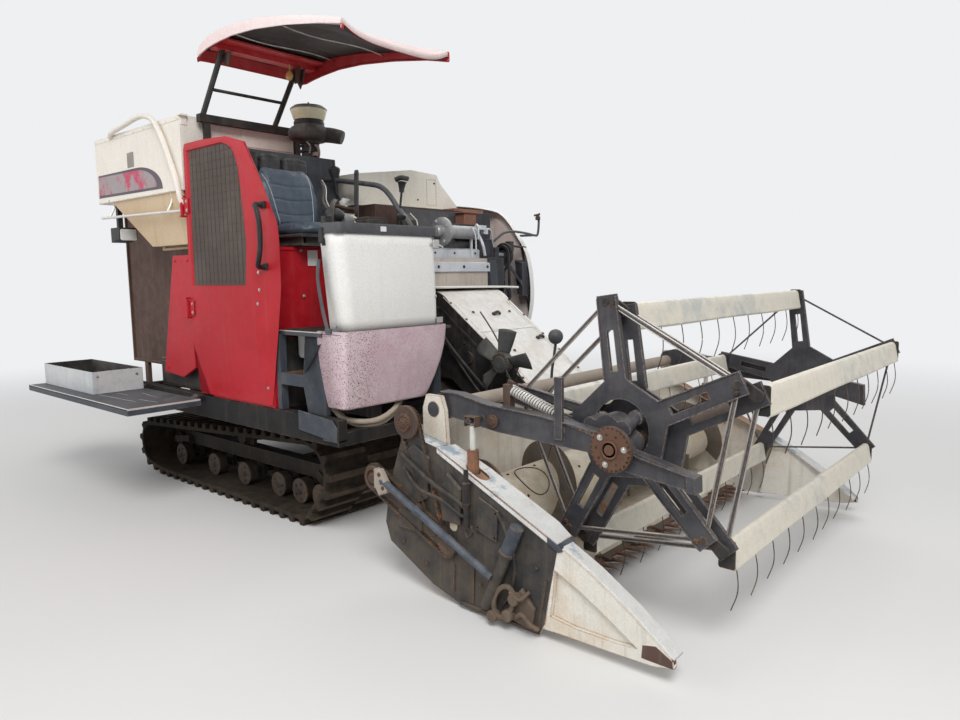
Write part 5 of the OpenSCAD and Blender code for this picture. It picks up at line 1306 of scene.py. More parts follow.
# Points of the drum and the flight: (axis x + R cos a, y, axis z + R sin a), y of the flight's rim climbing with a.
def addAuger():
    axisX, axisZ, drum, flight, pitch = (augerShape[k] for k in ("x", "z", "drum", "flight", "pitch"))
    screw = softCopy("auger", "auger", 1)
    tinted(screw, "flightGrey", lambda c, n: np.hypot(c[:, 0] - axisX, c[:, 2] - axisZ) > drum + 4)
    t = np.linspace(0, 2 * math.pi, 28, endpoint=False)

    def onDrum(y, turnAngle, lift):
        return np.stack([axisX + (drum + lift) * np.cos(turnAngle), y, axisZ + (drum + lift) * np.sin(turnAngle)], -1)
    hatch = sweep(circle(2.4, 6), onDrum(-610 + 78 * np.sin(t), 1.0 + 0.62 * np.cos(t), 1.5), (0, 1, 0.1),
            closed=True)
    bolts = [scattered(boltHead(6, 4), [onDrum(np.array(yy), np.array(a), 0)], (math.cos(a), 0, math.sin(a)))
            for yy, a in ((-700, 1.5), (-520, 1.5), (-700, 0.5), (-520, 0.5), (-820, 1.25), (-420, 1.2), (-300, 0.8),
            (-100, 1.3), (700, 1.2))]
    addPiece("auger_hatch", [hatch] + bolts, "auger", "rustyIron")
    turns = np.linspace(0, 940 / pitch * 2 * math.pi, 180)
    rim = np.stack([axisX + flight * np.cos(turns), augerShape["start"] + pitch * turns / (2 * math.pi),
            axisZ + flight * np.sin(turns)], 1)
    addPiece("flight_rim", sweep(rounded(-1, 1, -5, 5, 0.8, 1), rim, toLeft), "auger", "rustyIron")


# Fan: its hub's middle in x and z, its face in y, the blades' middle in y, root and length, number and first angle
fanShape = {"x": 670, "z": 812, "face": -150, "middle": -124, "root": 48, "reach": 126, "blades": 5, "first": 10}


# Blades: P(u,v) = hub + r(u) * up + v * half(u) * side, turned about the radius by 0.78 - 0.36 u.
def addFan():
    f = fanShape
    hubX, hubZ = f["x"], f["z"]
    rim = turned([(0, 0), (30, 0), (34, 3), (50, 3), (54, 7), (54, 46), (0, 46)], (hubX, f["face"], hubZ), toLeft, 36)
    t = np.arange(20) * 2 * math.pi / 20
    notches = [scattered(block(-4, 4, -4, 4, -3, 3, 1), [(hubX + 47 * math.cos(a), -149, hubZ + 47 * math.sin(a))])
            for a in t]
    addPiece("fan_hub", [rim], "fan", "fanGrey", replaced=("cooling_fan",))
    addPiece("fan_notches", notches, "fan", "blackIron")
    u, v = np.meshgrid(np.linspace(0, 1, 9), np.linspace(-1, 1, 7), indexing="ij")
    r, half, pitch = f["root"] + f["reach"] * u - 8 * v ** 2, 27 + 20 * u ** 0.8, 0.78 - 0.36 * u
    lie = half * v + 6 * u
    blades = []
    for k in range(f["blades"]):
        a = math.radians(f["first"] + 360 / f["blades"] * k)
        x = hubX + r * math.sin(a) + lie * np.cos(pitch) * math.cos(a)
        z = hubZ + r * math.cos(a) - lie * np.cos(pitch) * math.sin(a)
        y = f["middle"] + lie * np.sin(pitch) - 5 * np.sin((v + 1) * math.pi / 2)
        blades.append(grid(np.stack([x, y, z], -1)))
    piece = addPiece("fan_blades", blades, "fan", "fanGrey", 50)
    thicken(piece, 4, 0)
    wires = [tube([(636, -68, 850), (560, -66, 960), (470, -60, 1060)], 4),
            tube([(712, -72, 776), (770, -60, 700), (800, -20, 640)], 4)]
    addPiece("fan_stays", wires, "header", "chain")


# The closed form blown up as sewn fabric: no point moves further than the cap, in millimetres.
def puffed(piece, cap, pressure=4.0, voxel=0.006):
    mesh = piece.data
    remesh = piece.modifiers.new("voxels", "REMESH")
    remesh.mode, remesh.voxel_size = "VOXEL", voxel
    bpy.context.view_layer.update()
    shape = bpy.data.meshes.new_from_object(piece.evaluated_get(bpy.context.evaluated_depsgraph_get()))
    piece.modifiers.clear()
    shape.materials.clear()
    shape.materials.append(mesh.materials[0])
    piece.data = shape
    start = np.empty(len(shape.vertices) * 3)
    shape.vertices.foreach_get("co", start)
    cloth = piece.modifiers.new("air", "CLOTH")
    cloth.settings.use_pressure = True
    cloth.settings.uniform_pressure_force = pressure
    cloth.settings.effector_weights.gravity = 0
    cloth.settings.quality = 4
    cloth.point_cache.frame_start, cloth.point_cache.frame_end = 1, 20
    for step in range(1, 21):
        scene.frame_set(step)
    settled = piece.evaluated_get(bpy.context.evaluated_depsgraph_get()).to_mesh()
    end = np.empty(len(start))
    settled.vertices.foreach_get("co", end)
    piece.modifiers.clear()
    scene.frame_set(1)
    move = (end - start).reshape(-1, 3)
    far = np.linalg.norm(move, axis=1)
    move *= np.minimum(1, cap / 1000 / np.maximum(far, 1e-9))[:, None]
    shape.vertices.foreach_set("co", start + move.ravel())
    shape.update()
    shape.shade_smooth()
    return shape


# Each point moved along its normal by dent(points in mm, normals), in millimetres.
def sewn(shape, dent):
    n = len(shape.vertices)
    at, normal = np.empty(n * 3), np.empty(n * 3)
    shape.vertices.foreach_get("co", at)
    shape.vertices.foreach_get("normal", normal)
    at, normal = at.reshape(-1, 3), normal.reshape(-1, 3)
    at += normal * dent(at * 1000 - frameShift, normal)[:, None] / 1000
    shape.vertices.foreach_set("co", at.ravel())
    shape.update()


# Seat: back pad by height (share, half width, half thickness, lean of its middle in x), cushion and head pads
seatShape = {
    "middle": -694, "foot": (-270, 1488), "tall": 330,
    "back": [(0, 150, 20, 0), (0.03, 170, 30, 0), (0.12, 182, 36, -2), (0.5, 196, 34, -18), (0.72, 186, 30, -32),
        (0.88, 166, 27, -46), (0.96, 146, 22, -52), (1, 128, 12, -54)],
    "seams": [(-150, -84), (132, 112)], "creases": (0.26, 0.48, 0.70), "cap": 14,
    "heads": [(-880, -776, 1716, 1900, -424), (-772, -640, 1716, 1908, -424), (-638, -470, 1706, 1898, -424)],
}


# Closed form from rows of (height, half width, half depth): each ring is a superellipse x = b |sin t|^0.7 sign, y = a
# |cos t|^0.7 sign, placed by place(height, x, y).
def ringForm(rows, around, place):
    t = np.arange(around) * 2 * math.pi / around
    c, s = np.cos(t), np.sin(t)
    wide, deep = np.sign(c) * np.abs(c) ** 0.7, np.sign(s) * np.abs(s) ** 0.7
    rings = np.stack([np.stack(place(h, b * deep, a * wide), -1) for h, a, b in rows])
    points, faces = grid(rings, False, True)
    last = (len(rows) - 1) * around
    return points, faces + [tuple(range(around))[::-1], tuple(range(last, last + around))]


# Rings of the back at the share h of its height: x = foot + lean(h) + depth, hollowed in front by 20 (1 - (y /
# 110)^2) sin(pi (h + 0.1)).
def addSeat():
    s = seatShape
    table = np.array(s["back"])
    share = np.unique(np.concatenate([np.linspace(0, 1, 27), table[:, 0]]))
    rows = np.stack([share, along(table, share, 1), along(table, share, 2)], 1)

    def backAt(h, x, y):
        hollow = 20 * (1 - np.clip(np.abs(y) / 110, 0, 1) ** 2) * (x > 0) * math.sin(math.pi * min(1, h + 0.1))
        return s["foot"][0] + along(table, h, 3) + x - hollow, s["middle"] + y, s["foot"][1] + s["tall"] * h + 0 * x
    back = addPiece("seat_back", ringForm(rows, 48, backAt), "machine", "seatVinyl", replaced=("seat",))
    shape = puffed(back, s["cap"])
    (n0, f0), (n1, f1) = s["seams"]

    def backDent(p, n):
        h = np.clip((p[:, 2] - s["foot"][1]) / s["tall"], 0, 1)
        y = p[:, 1] - s["middle"]
        left, right = f0 + (n0 - f0) * h, f1 + (n1 - f1) * h
        front = n[:, 0] > 0.2
        d = -5 * np.exp(-((y - left) / 6) ** 2) - 5 * np.exp(-((y - right) / 6) ** 2)
        between = (y > left) & (y < right)
        for c in s["creases"]:
            d -= 4 * between * np.exp(-((h - c + 0.012 * np.cos((y - 10) / 45)) / 0.013) ** 2)
        return d * front + 0.5 * np.sin(p[:, 2] / 37) * np.sin(y / 43)
    sewn(shape, backDent)
    sub = back.modifiers.new("smooth", "SUBSURF")
    sub.levels = sub.render_levels = 1
    # Piping over the two seams, laid on the pad by rays from the front
    tree = bpy.context.evaluated_depsgraph_get()
    lines = []
    for y0, y1 in s["seams"]:
        h = np.linspace(0.06, 0.95, 22)
        path = []
        for k in h:
            y, z = s["middle"] + y1 + (y0 - y1) * k, s["foot"][1] + s["tall"] * k
            hit, spot, _, _ = back.ray_cast(Vector(toFrame([(200, y, z)])[0]), Vector((-1, 0, 0)), distance=1.0,
                    depsgraph=tree)
            if hit:
                path.append(np.array(spot) * 1000 - frameShift + (0.6, 0, 0))
        lines.append(tube(path, 2.4, 8))
    addPiece("seat_piping", lines, "machine", "pipingGrey")
    rows = [(z, a, b) for z, a, b in ((1462, 150, 160), (1466, 166, 176), (1484, 174, 184), (1502, 166, 176),
            (1509, 120, 130))]
    cushion = addPiece("seat_cushion",
            ringForm(rows, 56, lambda h, x, y: (-130 + x, -680 + y, h + 5 * (1 - (x / 190) ** 2) * (h > 1500))),
            "machine", "seatVinyl")
    shape = puffed(cushion, 10)
    sewn(shape, lambda p, n: -4 * (n[:, 2] > 0.3) * (np.exp(-((p[:, 1] + 800) / 6) ** 2)
            + np.exp(-((p[:, 1] + 560) / 6) ** 2) + np.exp(-((p[:, 0] + 60) / 6) ** 2)))
    base = [block(-320, 34, -846, -514, 1402, 1414, 3), block(-330, 44, -856, -504, 1444, 1460, 4),
            block(-300, 20, -830, -812, 1414, 1446, 2), block(-300, 20, -548, -530, 1414, 1446, 2),
            block(-300, 20, -836, -524, 1410, 1448, 3), block(-348, -322, -846, -514, 1460, 1640, 4)]
    addPiece("seat_base", base, "machine", "lining", bevel=1)
    for k, (y0, y1, z0, z1, x) in enumerate(s["heads"]):
        a, m = (y1 - y0) / 2 - 6, (y0 + y1) / 2
        rows = [(z0 + 4, a * 0.86, 16), (z0 + 12, a, 26), ((z0 + z1) / 2, a, 30), (z1 - 18, a, 26),
                (z1 - 8, a * 0.92, 15)]
        pad = addPiece("head_pad_%d" % (k + 1),
                ringForm(rows, 36, lambda h, px, py: (x + px, m + py, h - 10 * (py / a) ** 2 * (h > z0 + 60))),
                "machine", "padBlack")
        sewn(puffed(pad, 9), lambda p, n: -2.5 * np.exp(-((p[:, 2] - z1 + 34) / 4) ** 2) * (n[:, 0] > 0.3))
    padFrame = [tube([(-452, -830, 1700), (-458, -810, 1860), (-458, -680, 1874), (-458, -540, 1862),
            (-452, -512, 1700)], 10), block(-466, -446, -826, -514, 1700, 1722, 3)]
    addPiece("head_pad_frame", padFrame, "machine", "blackIron")


# Turned profiles (r, z): dome, dark ring, clear bowl that widens upwards, lid with its pin; the dome's snout is an
# oval tube, 46 by 38, that swells by the share 0.12 sin a on its way.
def addIntake():
    x, y = -560, -345
    up = toTop
    dome = turned([(0, 2010), (56, 2010), (60, 2024), (88, 2022), (110, 2032), (120, 2052), (118, 2074), (104, 2096),
            (84, 2108), (82, 2118), (0, 2118)], (x, y, 0), up, 40)
    snout = np.array([(0, 0, 2062), (50, 44, 2060), (90, 79, 2056), (128, 112, 2046), (142, 124, 2040)], float) + (x,
            y, 0)
    neck = sweep(circle(46, 22) * (1, 0.82), smoothPath(snout, 4), swell=1 + 0.12 * np.sin(np.linspace(0.4, 3.4, 17)))
    addPiece("intake_dome", [dome, neck], "machine", "intakeDust", 40, replaced=("air_intake",))
    ring = turned([(0, 2112), (80, 2112), (86, 2116), (86, 2128), (80, 2134), (82, 2138), (0, 2138)], (x, y, 0), up,
            40)
    feet = [turned([(0, 1918), (52, 1918), (56, 1924), (50, 1930), (46, 2012), (0, 2012)], (x, y, 0), up, 28),
            turned([(52, 1960), (57, 1961), (57, 1973), (52, 1974), (52, 1960)], (x, y, 0), up, 28),
            turned([(47, 1990), (53, 1991), (53, 2003), (47, 2004), (47, 1990)], (x, y, 0), up, 28)]
    addPiece("intake_neck", [ring, *feet], "machine", "blackPlastic")
    clamp = [tube([(x + 60, y - 10, 1996), (x + 74, y + 2, 1980), (x + 70, y + 10, 1950), (x + 56, y + 14, 1930)], 7),
            tube([(x + 40, y - 50, 2010), (x + 62, y - 44, 1985), (x + 50, y - 40, 1950)], 5),
            block(x + 44, x + 74, y - 20, y + 6, 1934, 1956, 4)]
    addPiece("intake_clamps", clamp, "machine", "dustyCast")
    bowl = turned([(0, 2138), (82, 2138), (88, 2146), (97, 2176), (101, 2188), (101, 2196), (0, 2196)], (x, y, 0), up,
            44)
    addPiece("intake_bowl", bowl, "machine", "bowlPlastic")
    lid = turned([(0, 2194), (103, 2194), (104, 2199), (98, 2206), (86, 2212), (84, 2216), (60, 2220), (0, 2222)],
            (x, y, 0), up, 44)
    pin = turned([(0, 2218), (14, 2218), (14, 2223), (5, 2225), (5, 2238), (3, 2241), (0, 2241)], (x, y, 0), up, 14)
    addPiece("intake_lid", [lid, pin], "machine", "lidGrey")


# Bars along smooth curves and knobs turned from profiles (r, h), beside the seat and behind the column.
def addLevers():
    side = -330
    knob = turned([(0, 0), (7, 2), (9, 20), (12, 50), (19, 90), (26, 120), (32, 140), (33, 150), (26, 160), (12, 166),
            (8, 172), (7, 190), (4, 196), (0, 197)], (-346, side, 1700), (-0.13, 0, 1), 20)
    stem = tube([(-292, side, 1560), (-300, side, 1640), (-336, side, 1698), (-346, side, 1716)], 7)
    bar = plate([(-190, 1560), (-156, 1560), (-142, 1812), (-148, 1824), (-170, 1824), (-176, 1812)], side - 16,
            side - 8, "xz", 1.5)
    rail = tube([(-470, side, 1560), (-474, side, 1700), (-470, side, 1780), (-440, side, 1800), (-97, side, 1746),
            (15, side, 1722), (84, side, 1676), (160, side, 1590), (240, side, 1506), (252, side, 1466)], 14, 14)
    tee = [tube([(150, side, 1470), (156, side, 1540), (182, side, 1690)], 6),
           turned([(0, 0), (12, 0), (14, 20), (20, 44), (26, 52), (0, 58)], (179, side, 1678), (0.12, 0, 1), 16),
           sweep(rounded(-13, 13, -12, 12, 9, 3),
            smoothPath([(152, side - 16, 1742), (178, side, 1752), (214, side + 14, 1744)], 5))]
    addPiece("lever_knobs", [knob, stem, *tee], "machine", "blackPlastic")
    eye = scattered(boltHead(7, 5), [(-160, side - 16, 1804), (-166, side - 16, 1640)], toRight)
    addPiece("lever_bar", [bar, eye], "machine", "rimGrey", bevel=1)
    addPiece("grab_rail", rail, "machine", "railGrey")
    socket = [turned([(0, 0), (22, 0), (26, 10), (26, 24), (16, 34), (12, 46), (0, 46)], (-292, side, 1640),
            (0.1, 0, 1), 18), tube([(-250, side, 1676), (-270, side - 6, 1650), (-262, side, 1622)], 8)]
    addPiece("lever_socket", socket, "machine", "whitePlastic")
    rod = tube([(-410, -380, 1654), (-330, -380, 1650), (-200, -380, 1620), (-130, -380, 1610)], 10)
    addPiece("shift_rod", [rod], "machine", "rustyIron")
    # Slatted boot between the seat and the column
    z = np.linspace(0, 1, 33)
    fold = 5 * np.sin(z * 8 * math.pi)
    box = np.stack([np.stack([np.array([-1, 1, 1, -1]) * (36 + f) - 96, np.array([-1, -1, 1, 1]) * (40 + f) - 478,
            np.full(4, 1470 + 108 * h)], -1) for h, f in zip(z, fold)])
    points, faces = grid(box, False, True)
    addPiece("slat_boot", (points, faces + [tuple(range(4))[::-1], tuple(range(128, 132))]), "machine",
            "grillCream", 20, bevel=1)
    # Console beside the seat, its slotted top, and the tops of the instruments
    consoleWall = [block(-398, 38, -438, -300, 1402, 1548, 6), block(-392, 30, -432, -306, 1546, 1560, 4)]
    addPiece("console", consoleWall, "machine", "lining", bevel=2)
    slots = [block(x, x + 22, -424, -314, 1559, 1563, 1) for x in (-330, -250, -170, -90, -20)]
    addPiece("console_slots", slots, "machine", "rimGrey")
    dials = [turned([(0, 0), (38, 0), (40, 6), (40, 22), (34, 26), (32, 22), (0, 22)], (350, y, 1462), (-0.25, 0, 1),
            26) for y in (-560, -480)]
    caps = [block(310, 396, -640, -600, 1462, 1492, 6), block(318, 388, -430, -392, 1462, 1496, 6),
            block(310, 392, -840, -700, 1462, 1482, 6)]
    addPiece("instrument_tops", dials + caps, "machine", "padBlack", replaced=("controls",), bevel=1)
    faceDiscs = [turned([(0, 0), (31, 0), (31, 1), (0, 1)], (344.5, y, 1484.5), (-0.25, 0, 1), 22)
            for y in (-560, -480)]
    addPiece("dial_faces", faceDiscs, "machine", "whitePlastic")
    # Switch bracket between the seat and the column, with its round knob
    bracket = [sweep(rounded(-11, 11, -17, 17, 5, 2),
            smoothPath([(312, -905, 1392), (318, -900, 1470), (270, -850, 1560), (180, -760, 1600)], 6),
            (0.2, 0.3, 1)),
            block(300, 332, -936, -892, 1388, 1520, 5), block(296, 326, -950, -936, 1400, 1470, 4),
            sweep(rounded(-7, 7, -14, 14, 4, 2), smoothPath([(-131, -604, 1736), (-60, -640, 1680), (40, -720, 1612),
            (160, -790, 1560)], 6), toTop)]
    addPiece("switch_bracket", bracket, "machine", "blackPlastic", bevel=1)
    strap = sweep(rounded(-2, 2, -8, 8, 1.5, 1), smoothPath([(-135, -590, 1742), (-60, -624, 1690), (44, -704, 1622),
            (158, -772, 1572)], 6), toTop)
    addPiece("bracket_edge", strap, "machine", "paleSteel")
    knobs = [turned([(0, 0), (16, 0), (34, 12), (46, 32), (46, 46), (36, 60), (16, 68), (0, 70)], (232, -812, 1500),
            (0.2, 0.1, 1), 24), turned([(0, 0), (13, 0), (22, 8), (24, 20), (14, 30), (0, 33)], (357, -500, 1520),
            toTop, 18)]
    addPiece("round_knobs", knobs, "machine", "blackPlastic", 50)
    shell = turned([(30, 0), (46, 6), (50, 26), (44, 44), (38, 50), (30, 52), (30, 0)], (196, -730, 1500),
            (0.3, 0.2, 1), 20)
    addPiece("knob_collar", shell, "machine", "lidGrey")


# Blank plate, bolts and strap lever on the red panel under the seat; steps, posts and the spare tank below.
def addSidePanel():
    blank = plate(rounded(-762, -702, 1308, 1392, 4), -47, -45, "yz", 0.4)
    addPiece("panel_blank", blank, "machine", "labelWhite")
    heads = scattered(boltHead(8, 5), [(-47, -800, 1384), (-47, -792, 1160), (-47, -300, 1380), (-47, -330, 1150)],
            toFront)
    addPiece("panel_bolts", heads, "machine", "bareSteel")
    lever = sweep(rounded(-10, 10, -4, 4, 2, 1), smoothPath([(300, -952, 1330), (290, -954, 1250), (316, -956, 1120),
            (352, -958, 1016)], 6), toLeft)
    foot = [block(336, 372, -964, -944, 1002, 1024, 3)]
    addPiece("strap_lever", [lever, *foot], "machine", "railGrey", bevel=1)
    # The near post stands wider and further back, behind the skirt, and the step ends at it
    def moved(p):
        x, y, z = p[:, 0].copy(), p[:, 1].copy(), p[:, 2]
        outer, inner = np.abs(y + 970) < 1, np.abs(y + 930) < 1
        post = (outer | inner) & (x > 338) & ((z < 720) | (z > 900))
        step = (x > 338) & (y < -790) & (z > 740) & (z < 805)
        p[:, 0] = np.where(post, np.where(x > 370, 300, 160), np.where(step, 172, x))
        p[:, 1] = np.where(post, np.where(outer, -942, -916), y)
        return p
    softCopy("operator_floor", "stepPaint", 2, reshaped=moved)
    addPiece("step_backing", [block(-46, -40, -952, -300, 625, 962, 1), block(-40, 330, -640, -634, 560, 850, 1)],
            "machine", "blackIron")
    tread = [block(x, x + 8, -955, -806, 800, 803, 0.6) for x in range(6, 150, 26)]
    mat = [block(-30, 296, -930, -360, 1000, 1004, 1)] + [block(x, x + 7, -924, -366, 1003, 1007, 0.8)
            for x in range(-20, 290, 22)]
    addPiece("step_tread", tread, "machine", "framePaint")
    addPiece("floor_mat", mat, "machine", "padBlack")
    addPiece("floor_trim", block(-46, 300, -956, -948, 982, 1000, 1.5), "machine", "rimGrey")
    addPiece("floor_line", block(-44, 296, -955, -948, 1000, 1004, 0.8), "machine", "paleSteel")
    tank = softCopy("reserve_tank", "whitePlastic", 14)
    tinted(tank, "tankGrey", lambda c, n: n[:, 0] > 0.6)
    cap = [turned([(0, 0), (22, 0), (24, 4), (24, 16), (18, 20), (0, 20)], (60, -790, 984), toTop, 16),
           tube([(110, -846, 862), (112, -850, 820), (104, -852, 790)], 5)]
    addPiece("tank_cap", cap, "machine", "whitePlastic")
    softCopy("work_lamp", "blackPlastic", 10)
    lens = plate(rounded(-984, -886, 1492, 1560, 10), -1641, -1636, "yz", 1)
    addPiece("lamp_lens", lens, "machine", "labelWhite")


# A flat strip over a sloping edge from a to b in x and z, as high as said along its upward normal.
def strip(a, b, y0, y1, high, edge=0.6):
    a, b = np.asarray(a, float), np.asarray(b, float)
    u = (b - a) / np.linalg.norm(b - a)
    n = np.array([-u[1], u[0]]) * (1 if u[0] > 0 else -1)
    return plate([a, b, b + n * high, a + n * high], y0, y1, "xz", edge)


# Feeder: its top edge from the shaft down to the table, in x and z
feederShape = {"top": [(142, 1130), (730, 691), (914, 613)]}


# Rails, bolts and latches at shares of the sloping top's length, lifted along its normal.
def addFeeder():
    f = feederShape
    house = softCopy("feeder_house", "feederTop", 4)
    # Sides and undersides take the near-black finish: dark paint with painted shadow
    tinted(house, "feederDarkPaintAndShadow", lambda c, n: (np.abs(n[:, 1]) > 0.7) | (n[:, 2] < -0.2))
    a, b, c = (np.array(p, float) for p in f["top"])
    rails = [strip(p, q, y0, y1, 5) for p, q in ((a, b), (b, c)) for y0, y1 in ((-2, 16), (514, 532))]
    rails += [strip(p, q, y0, y1, 2.5) for p, q in ((a, b), (b, c)) for y0, y1 in ((34, 37), (493, 496))]
    at = [a + (b - a) * t for t in (0.03, 0.40, 0.43, 0.80)]
    rails += [strip(at[0], at[0] + (b - a) * 0.018, 0, 530, 4), strip(at[1], at[2], 16, 514, 2.5),
            strip(b - (b - a) * 0.012, b, 0, 530, 4)]
    addPiece("feeder_rails", rails, "header", "feederTop", bevel=0.8)
    down = (b - a) / np.linalg.norm(b - a)
    up = np.array([-down[1], down[0]])

    def spot(share, y, lift=3.0):
        p = a + (b - a) * share + up * lift
        return p[0], y, p[1]
    normal = (up[0], 0, up[1])
    heads = scattered(boltHead(8, 5), [spot(s, y, 4) for s in (0.08, 0.28, 0.52, 0.72, 0.94) for y in (8, 522)]
            + [spot(0.20, 120), spot(0.66, 150), spot(0.22, 430)], normal)
    addPiece("feeder_bolts", heads, "header", "rustyIron")
    latch = []
    for s, y in ((0.24, 300), (0.56, 470), (0.62, 90)):
        x0, _, z0 = spot(s, y, 2)
        latch += [sweep(rounded(-9, 9, -4, 4, 3, 2),
                smoothPath([(x0, y - 26, z0), (x0 + 8, y - 12, z0 + 12), (x0 + 8, y + 12, z0 + 12),
                (x0, y + 26, z0)], 5), normal),
                turned([(0, 0), (12, 0), (13, 4), (10, 9), (0, 10)], (x0, y - 30, z0), normal, 14)]
    addPiece("feeder_latches", latch, "header", "blackPlastic")
    # The side's plates take the same dark paint with painted shadow
    side = [plate([(20, 880), (120, 1080), (690, 655), (860, 585), (870, 570), (690, 635), (118, 1058), (34, 884)],
            -6, 0, "xz", 1), plate([(250, 760), (420, 640), (560, 520), (545, 505), (405, 622), (240, 742)], -7, 0,
            "xz", 1), turned([(0, -12), (60, -12), (70, -6), (86, -6), (90, 0), (0, 0)], (60, 0, 1000), toLeft, 36),
            turned([(0, -10), (34, -10), (38, 0), (0, 0)], (330, 0, 800), toLeft, 24)]
    heads = scattered(boltHead(8, 6), [(60 + 78 * math.cos(t), -6, 1000 + 78 * math.sin(t)) for t in np.arange(6)
            * math.pi / 3] + [(300, -1, 880), (470, -1, 740), (640, -1, 600), (760, -1, 420)], toRight)
    addPiece("feeder_side", side + [heads], "header", "feederDarkPaintAndShadow", bevel=1)
    hoses = [tube([(120, -30, 980), (240, -44, 860), (420, -40, 700), (600, -36, 560), (760, -40, 450)], 8),
            tube([(110, -24, 940), (260, -30, 800), (440, -52, 640), (610, -30, 500)], 6)]
    addPiece("feeder_hoses", hoses, "header", "blackIron")
    ball = [turned([(0, -38), (14, -35), (27, -26), (36, -10), (37, 4), (32, 20), (20, 32), (0, 38)], (930, -30, 948),
            toTop, 24), tube([(905, -30, 640), (906, -30, 760), (920, -30, 850), (930, -30, 914)], 7),
            block(890, 916, -44, -16, 648, 660, 2)]
    addPiece("height_ball", ball, "header", "railGrey", 50)
    softCopy("feeder_mount", "machinery", 2)


# Plates, turned pulleys and belts; a belt is the loop round two wheels at one y.
def addThresher():
    # The thresher's dark brown is red paint darkened as painted shade, with dirt and rust
    body = softCopy("thresher", "rustyBrownAndShade", 3)
    tinted(body, "machinery", lambda c, n: ((c[:, 0] > -141) & (c[:, 2] > 1340))
            | ((n[:, 0] > 0.5) & (c[:, 2] < 1180)) | ((n[:, 1] > 0.5) & (c[:, 1] > 570)))
    tinted(body, "tanSheet", lambda c, n: (c[:, 0] > 90) & (c[:, 2] < 1352))
    tinted(body, "tankPaint", lambda c, n: (n[:, 2] > 0.6) & (c[:, 2] > 1600) & (c[:, 0] < -150))
    beams = [plate([(34, 1344), (68, 1344), (68, 1400), (52, 1408), (34, 1408)], -38, 402, "xz", 1.5),
            plate([(98, 1272), (114, 1272), (114, 1322), (106, 1328), (98, 1328)], -40, 446, "xz", 1.5)]
    addPiece("front_beams", beams, "machine", "silverSheet", bevel=1.5)
    corner = block(94, 110, 436, 584, 1178, 1354, 2)
    addPiece("front_corner", corner, "machine", "machinery", bevel=1)
    strap = plate([(452, 1180), (520, 1180), (504, 1340), (440, 1340)], 110, 114, "yz", 1)
    addPiece("front_strap", strap, "machine", "slatePanel", bevel=0.8)
    panel = [block(98, 104, -38, 434, 1176, 1272, 1.5)] + [block(104, 106, y, y + 3, 1180, 1268, 0.6)
            for y in (70, 190, 310, 400)]
    addPiece("front_panel", panel, "machine", "tanSheet", bevel=0.8)
    rods = [tube([(84, -40, 1338), (84, 396, 1336)], 5, 8, False),
            tube([(116, -40, 1186), (116, 420, 1180), (116, 690, 1172), (116, 706, 1170)], 7, 10)]
    addPiece("front_rods", rods, "machine", "coverWhite")
    nuts = scattered(boltHead(8, 7), [(90, y, 1338) for y in (10, 190, 380)] + [(66, y, 1380) for y in (20, 180, 360)]
            + [(114, y, 1300) for y in (0, 210, 420)], toFront)
    addPiece("front_nuts", nuts, "machine", "blackIron")
    # Drives and brackets in the dark corner between the thresher and its left cover, round three pulleys
    top, large, small = (-80, 1380), (-300, 1180), (-60, 1120)
    dark = [block(-40, 40, 420, 570, 1352, 1470, 6), block(-120, -30, 300, 560, 1470, 1560, 8),
            block(20, 96, 452, 532, 1180, 1346, 3), block(96, 110, 452, 470, 1176, 1340, 2),
            block(-30, 60, 560, 600, 1200, 1420, 4),
            turned([(0, 0), (26, 0), (30, 10), (60, 12), (72, 6), (76, 14), (72, 24), (60, 20), (30, 24), (0, 26)],
            (top[0], 800, top[1]), toLeft, 36),
            turned([(0, 0), (30, 0), (34, 10), (96, 12), (112, 6), (116, 14), (112, 24), (96, 20), (34, 24), (0, 26)],
            (large[0], 820, large[1]), toLeft, 40),
            turned([(0, 0), (20, 0), (24, 10), (40, 12), (52, 6), (54, 14), (52, 24), (40, 20), (24, 24), (0, 26)],
            (small[0], 780, small[1]), toLeft, 30),
            plate([(-60, 640), (-20, 640), (60, 1180), (40, 1420), (-20, 1430), (10, 1180)], 596, 604, "xz", 2),
            sweep(circle(6, 8), [(-20, 640, 1010), (-16, 760, 1000), (-14, 880, 1004)])]
    dark += [block(-10, 14, 620, 720, z, z + 10, 2) for z in range(900, 1260, 62)] + [block(-14, 6, y, y + 12, 880,
            1270, 2) for y in (612, 716)]
    addPiece("front_drives", dark, "machine", "machinery", bevel=1.5)
    shafts = [turned([(0, 0), (14, 0), (14, 120), (10, 122), (10, 140), (0, 140)], (x, 700, z), toLeft, 14)
            for x, z in (top, large, small)]
    clamp = [plate([(60, 1462), (88, 1462), (92, 1540), (74, 1556), (56, 1540)], 366, 380, "xz", 2),
            block(56, 96, 376, 440, 1520, 1546, 4), block(50, 84, 430, 470, 1496, 1530, 5),
            tube([(70, 470, 1530), (60, 520, 1520), (40, 560, 1440)], 5),
            tube([(60, 400, 1500), (90, 408, 1430), (96, 420, 1366)], 9)]
    addPiece("front_clamps", shafts + clamp, "machine", "silverSheet", bevel=1)
    box = [block(-110, -30, 380, 490, 1556, 1626, 4), block(-118, -20, 360, 540, 1626, 1634, 2),
            block(-360, -200, 470, 752, 1656, 1672, 2)]
    addPiece("rusty_box", box, "machine", "rustBox", bevel=1.5)
    vee = [wheelLoop(top, 70, large, 110, 20), wheelLoop(top, 56, small, 46, 16)]
    belts = []
    for loop, y in zip(vee, (812, 792)):
        ring = np.column_stack([loop[:, 0], np.full(len(loop), y + 1.0), loop[:, 1]])
        belts.append(sweep(np.array([(-8, -5), (8, -5), (10, 5), (-10, 5)]), ring, toLeft, closed=True))
    addPiece("drive_belts", belts, "machine", "padBlack")
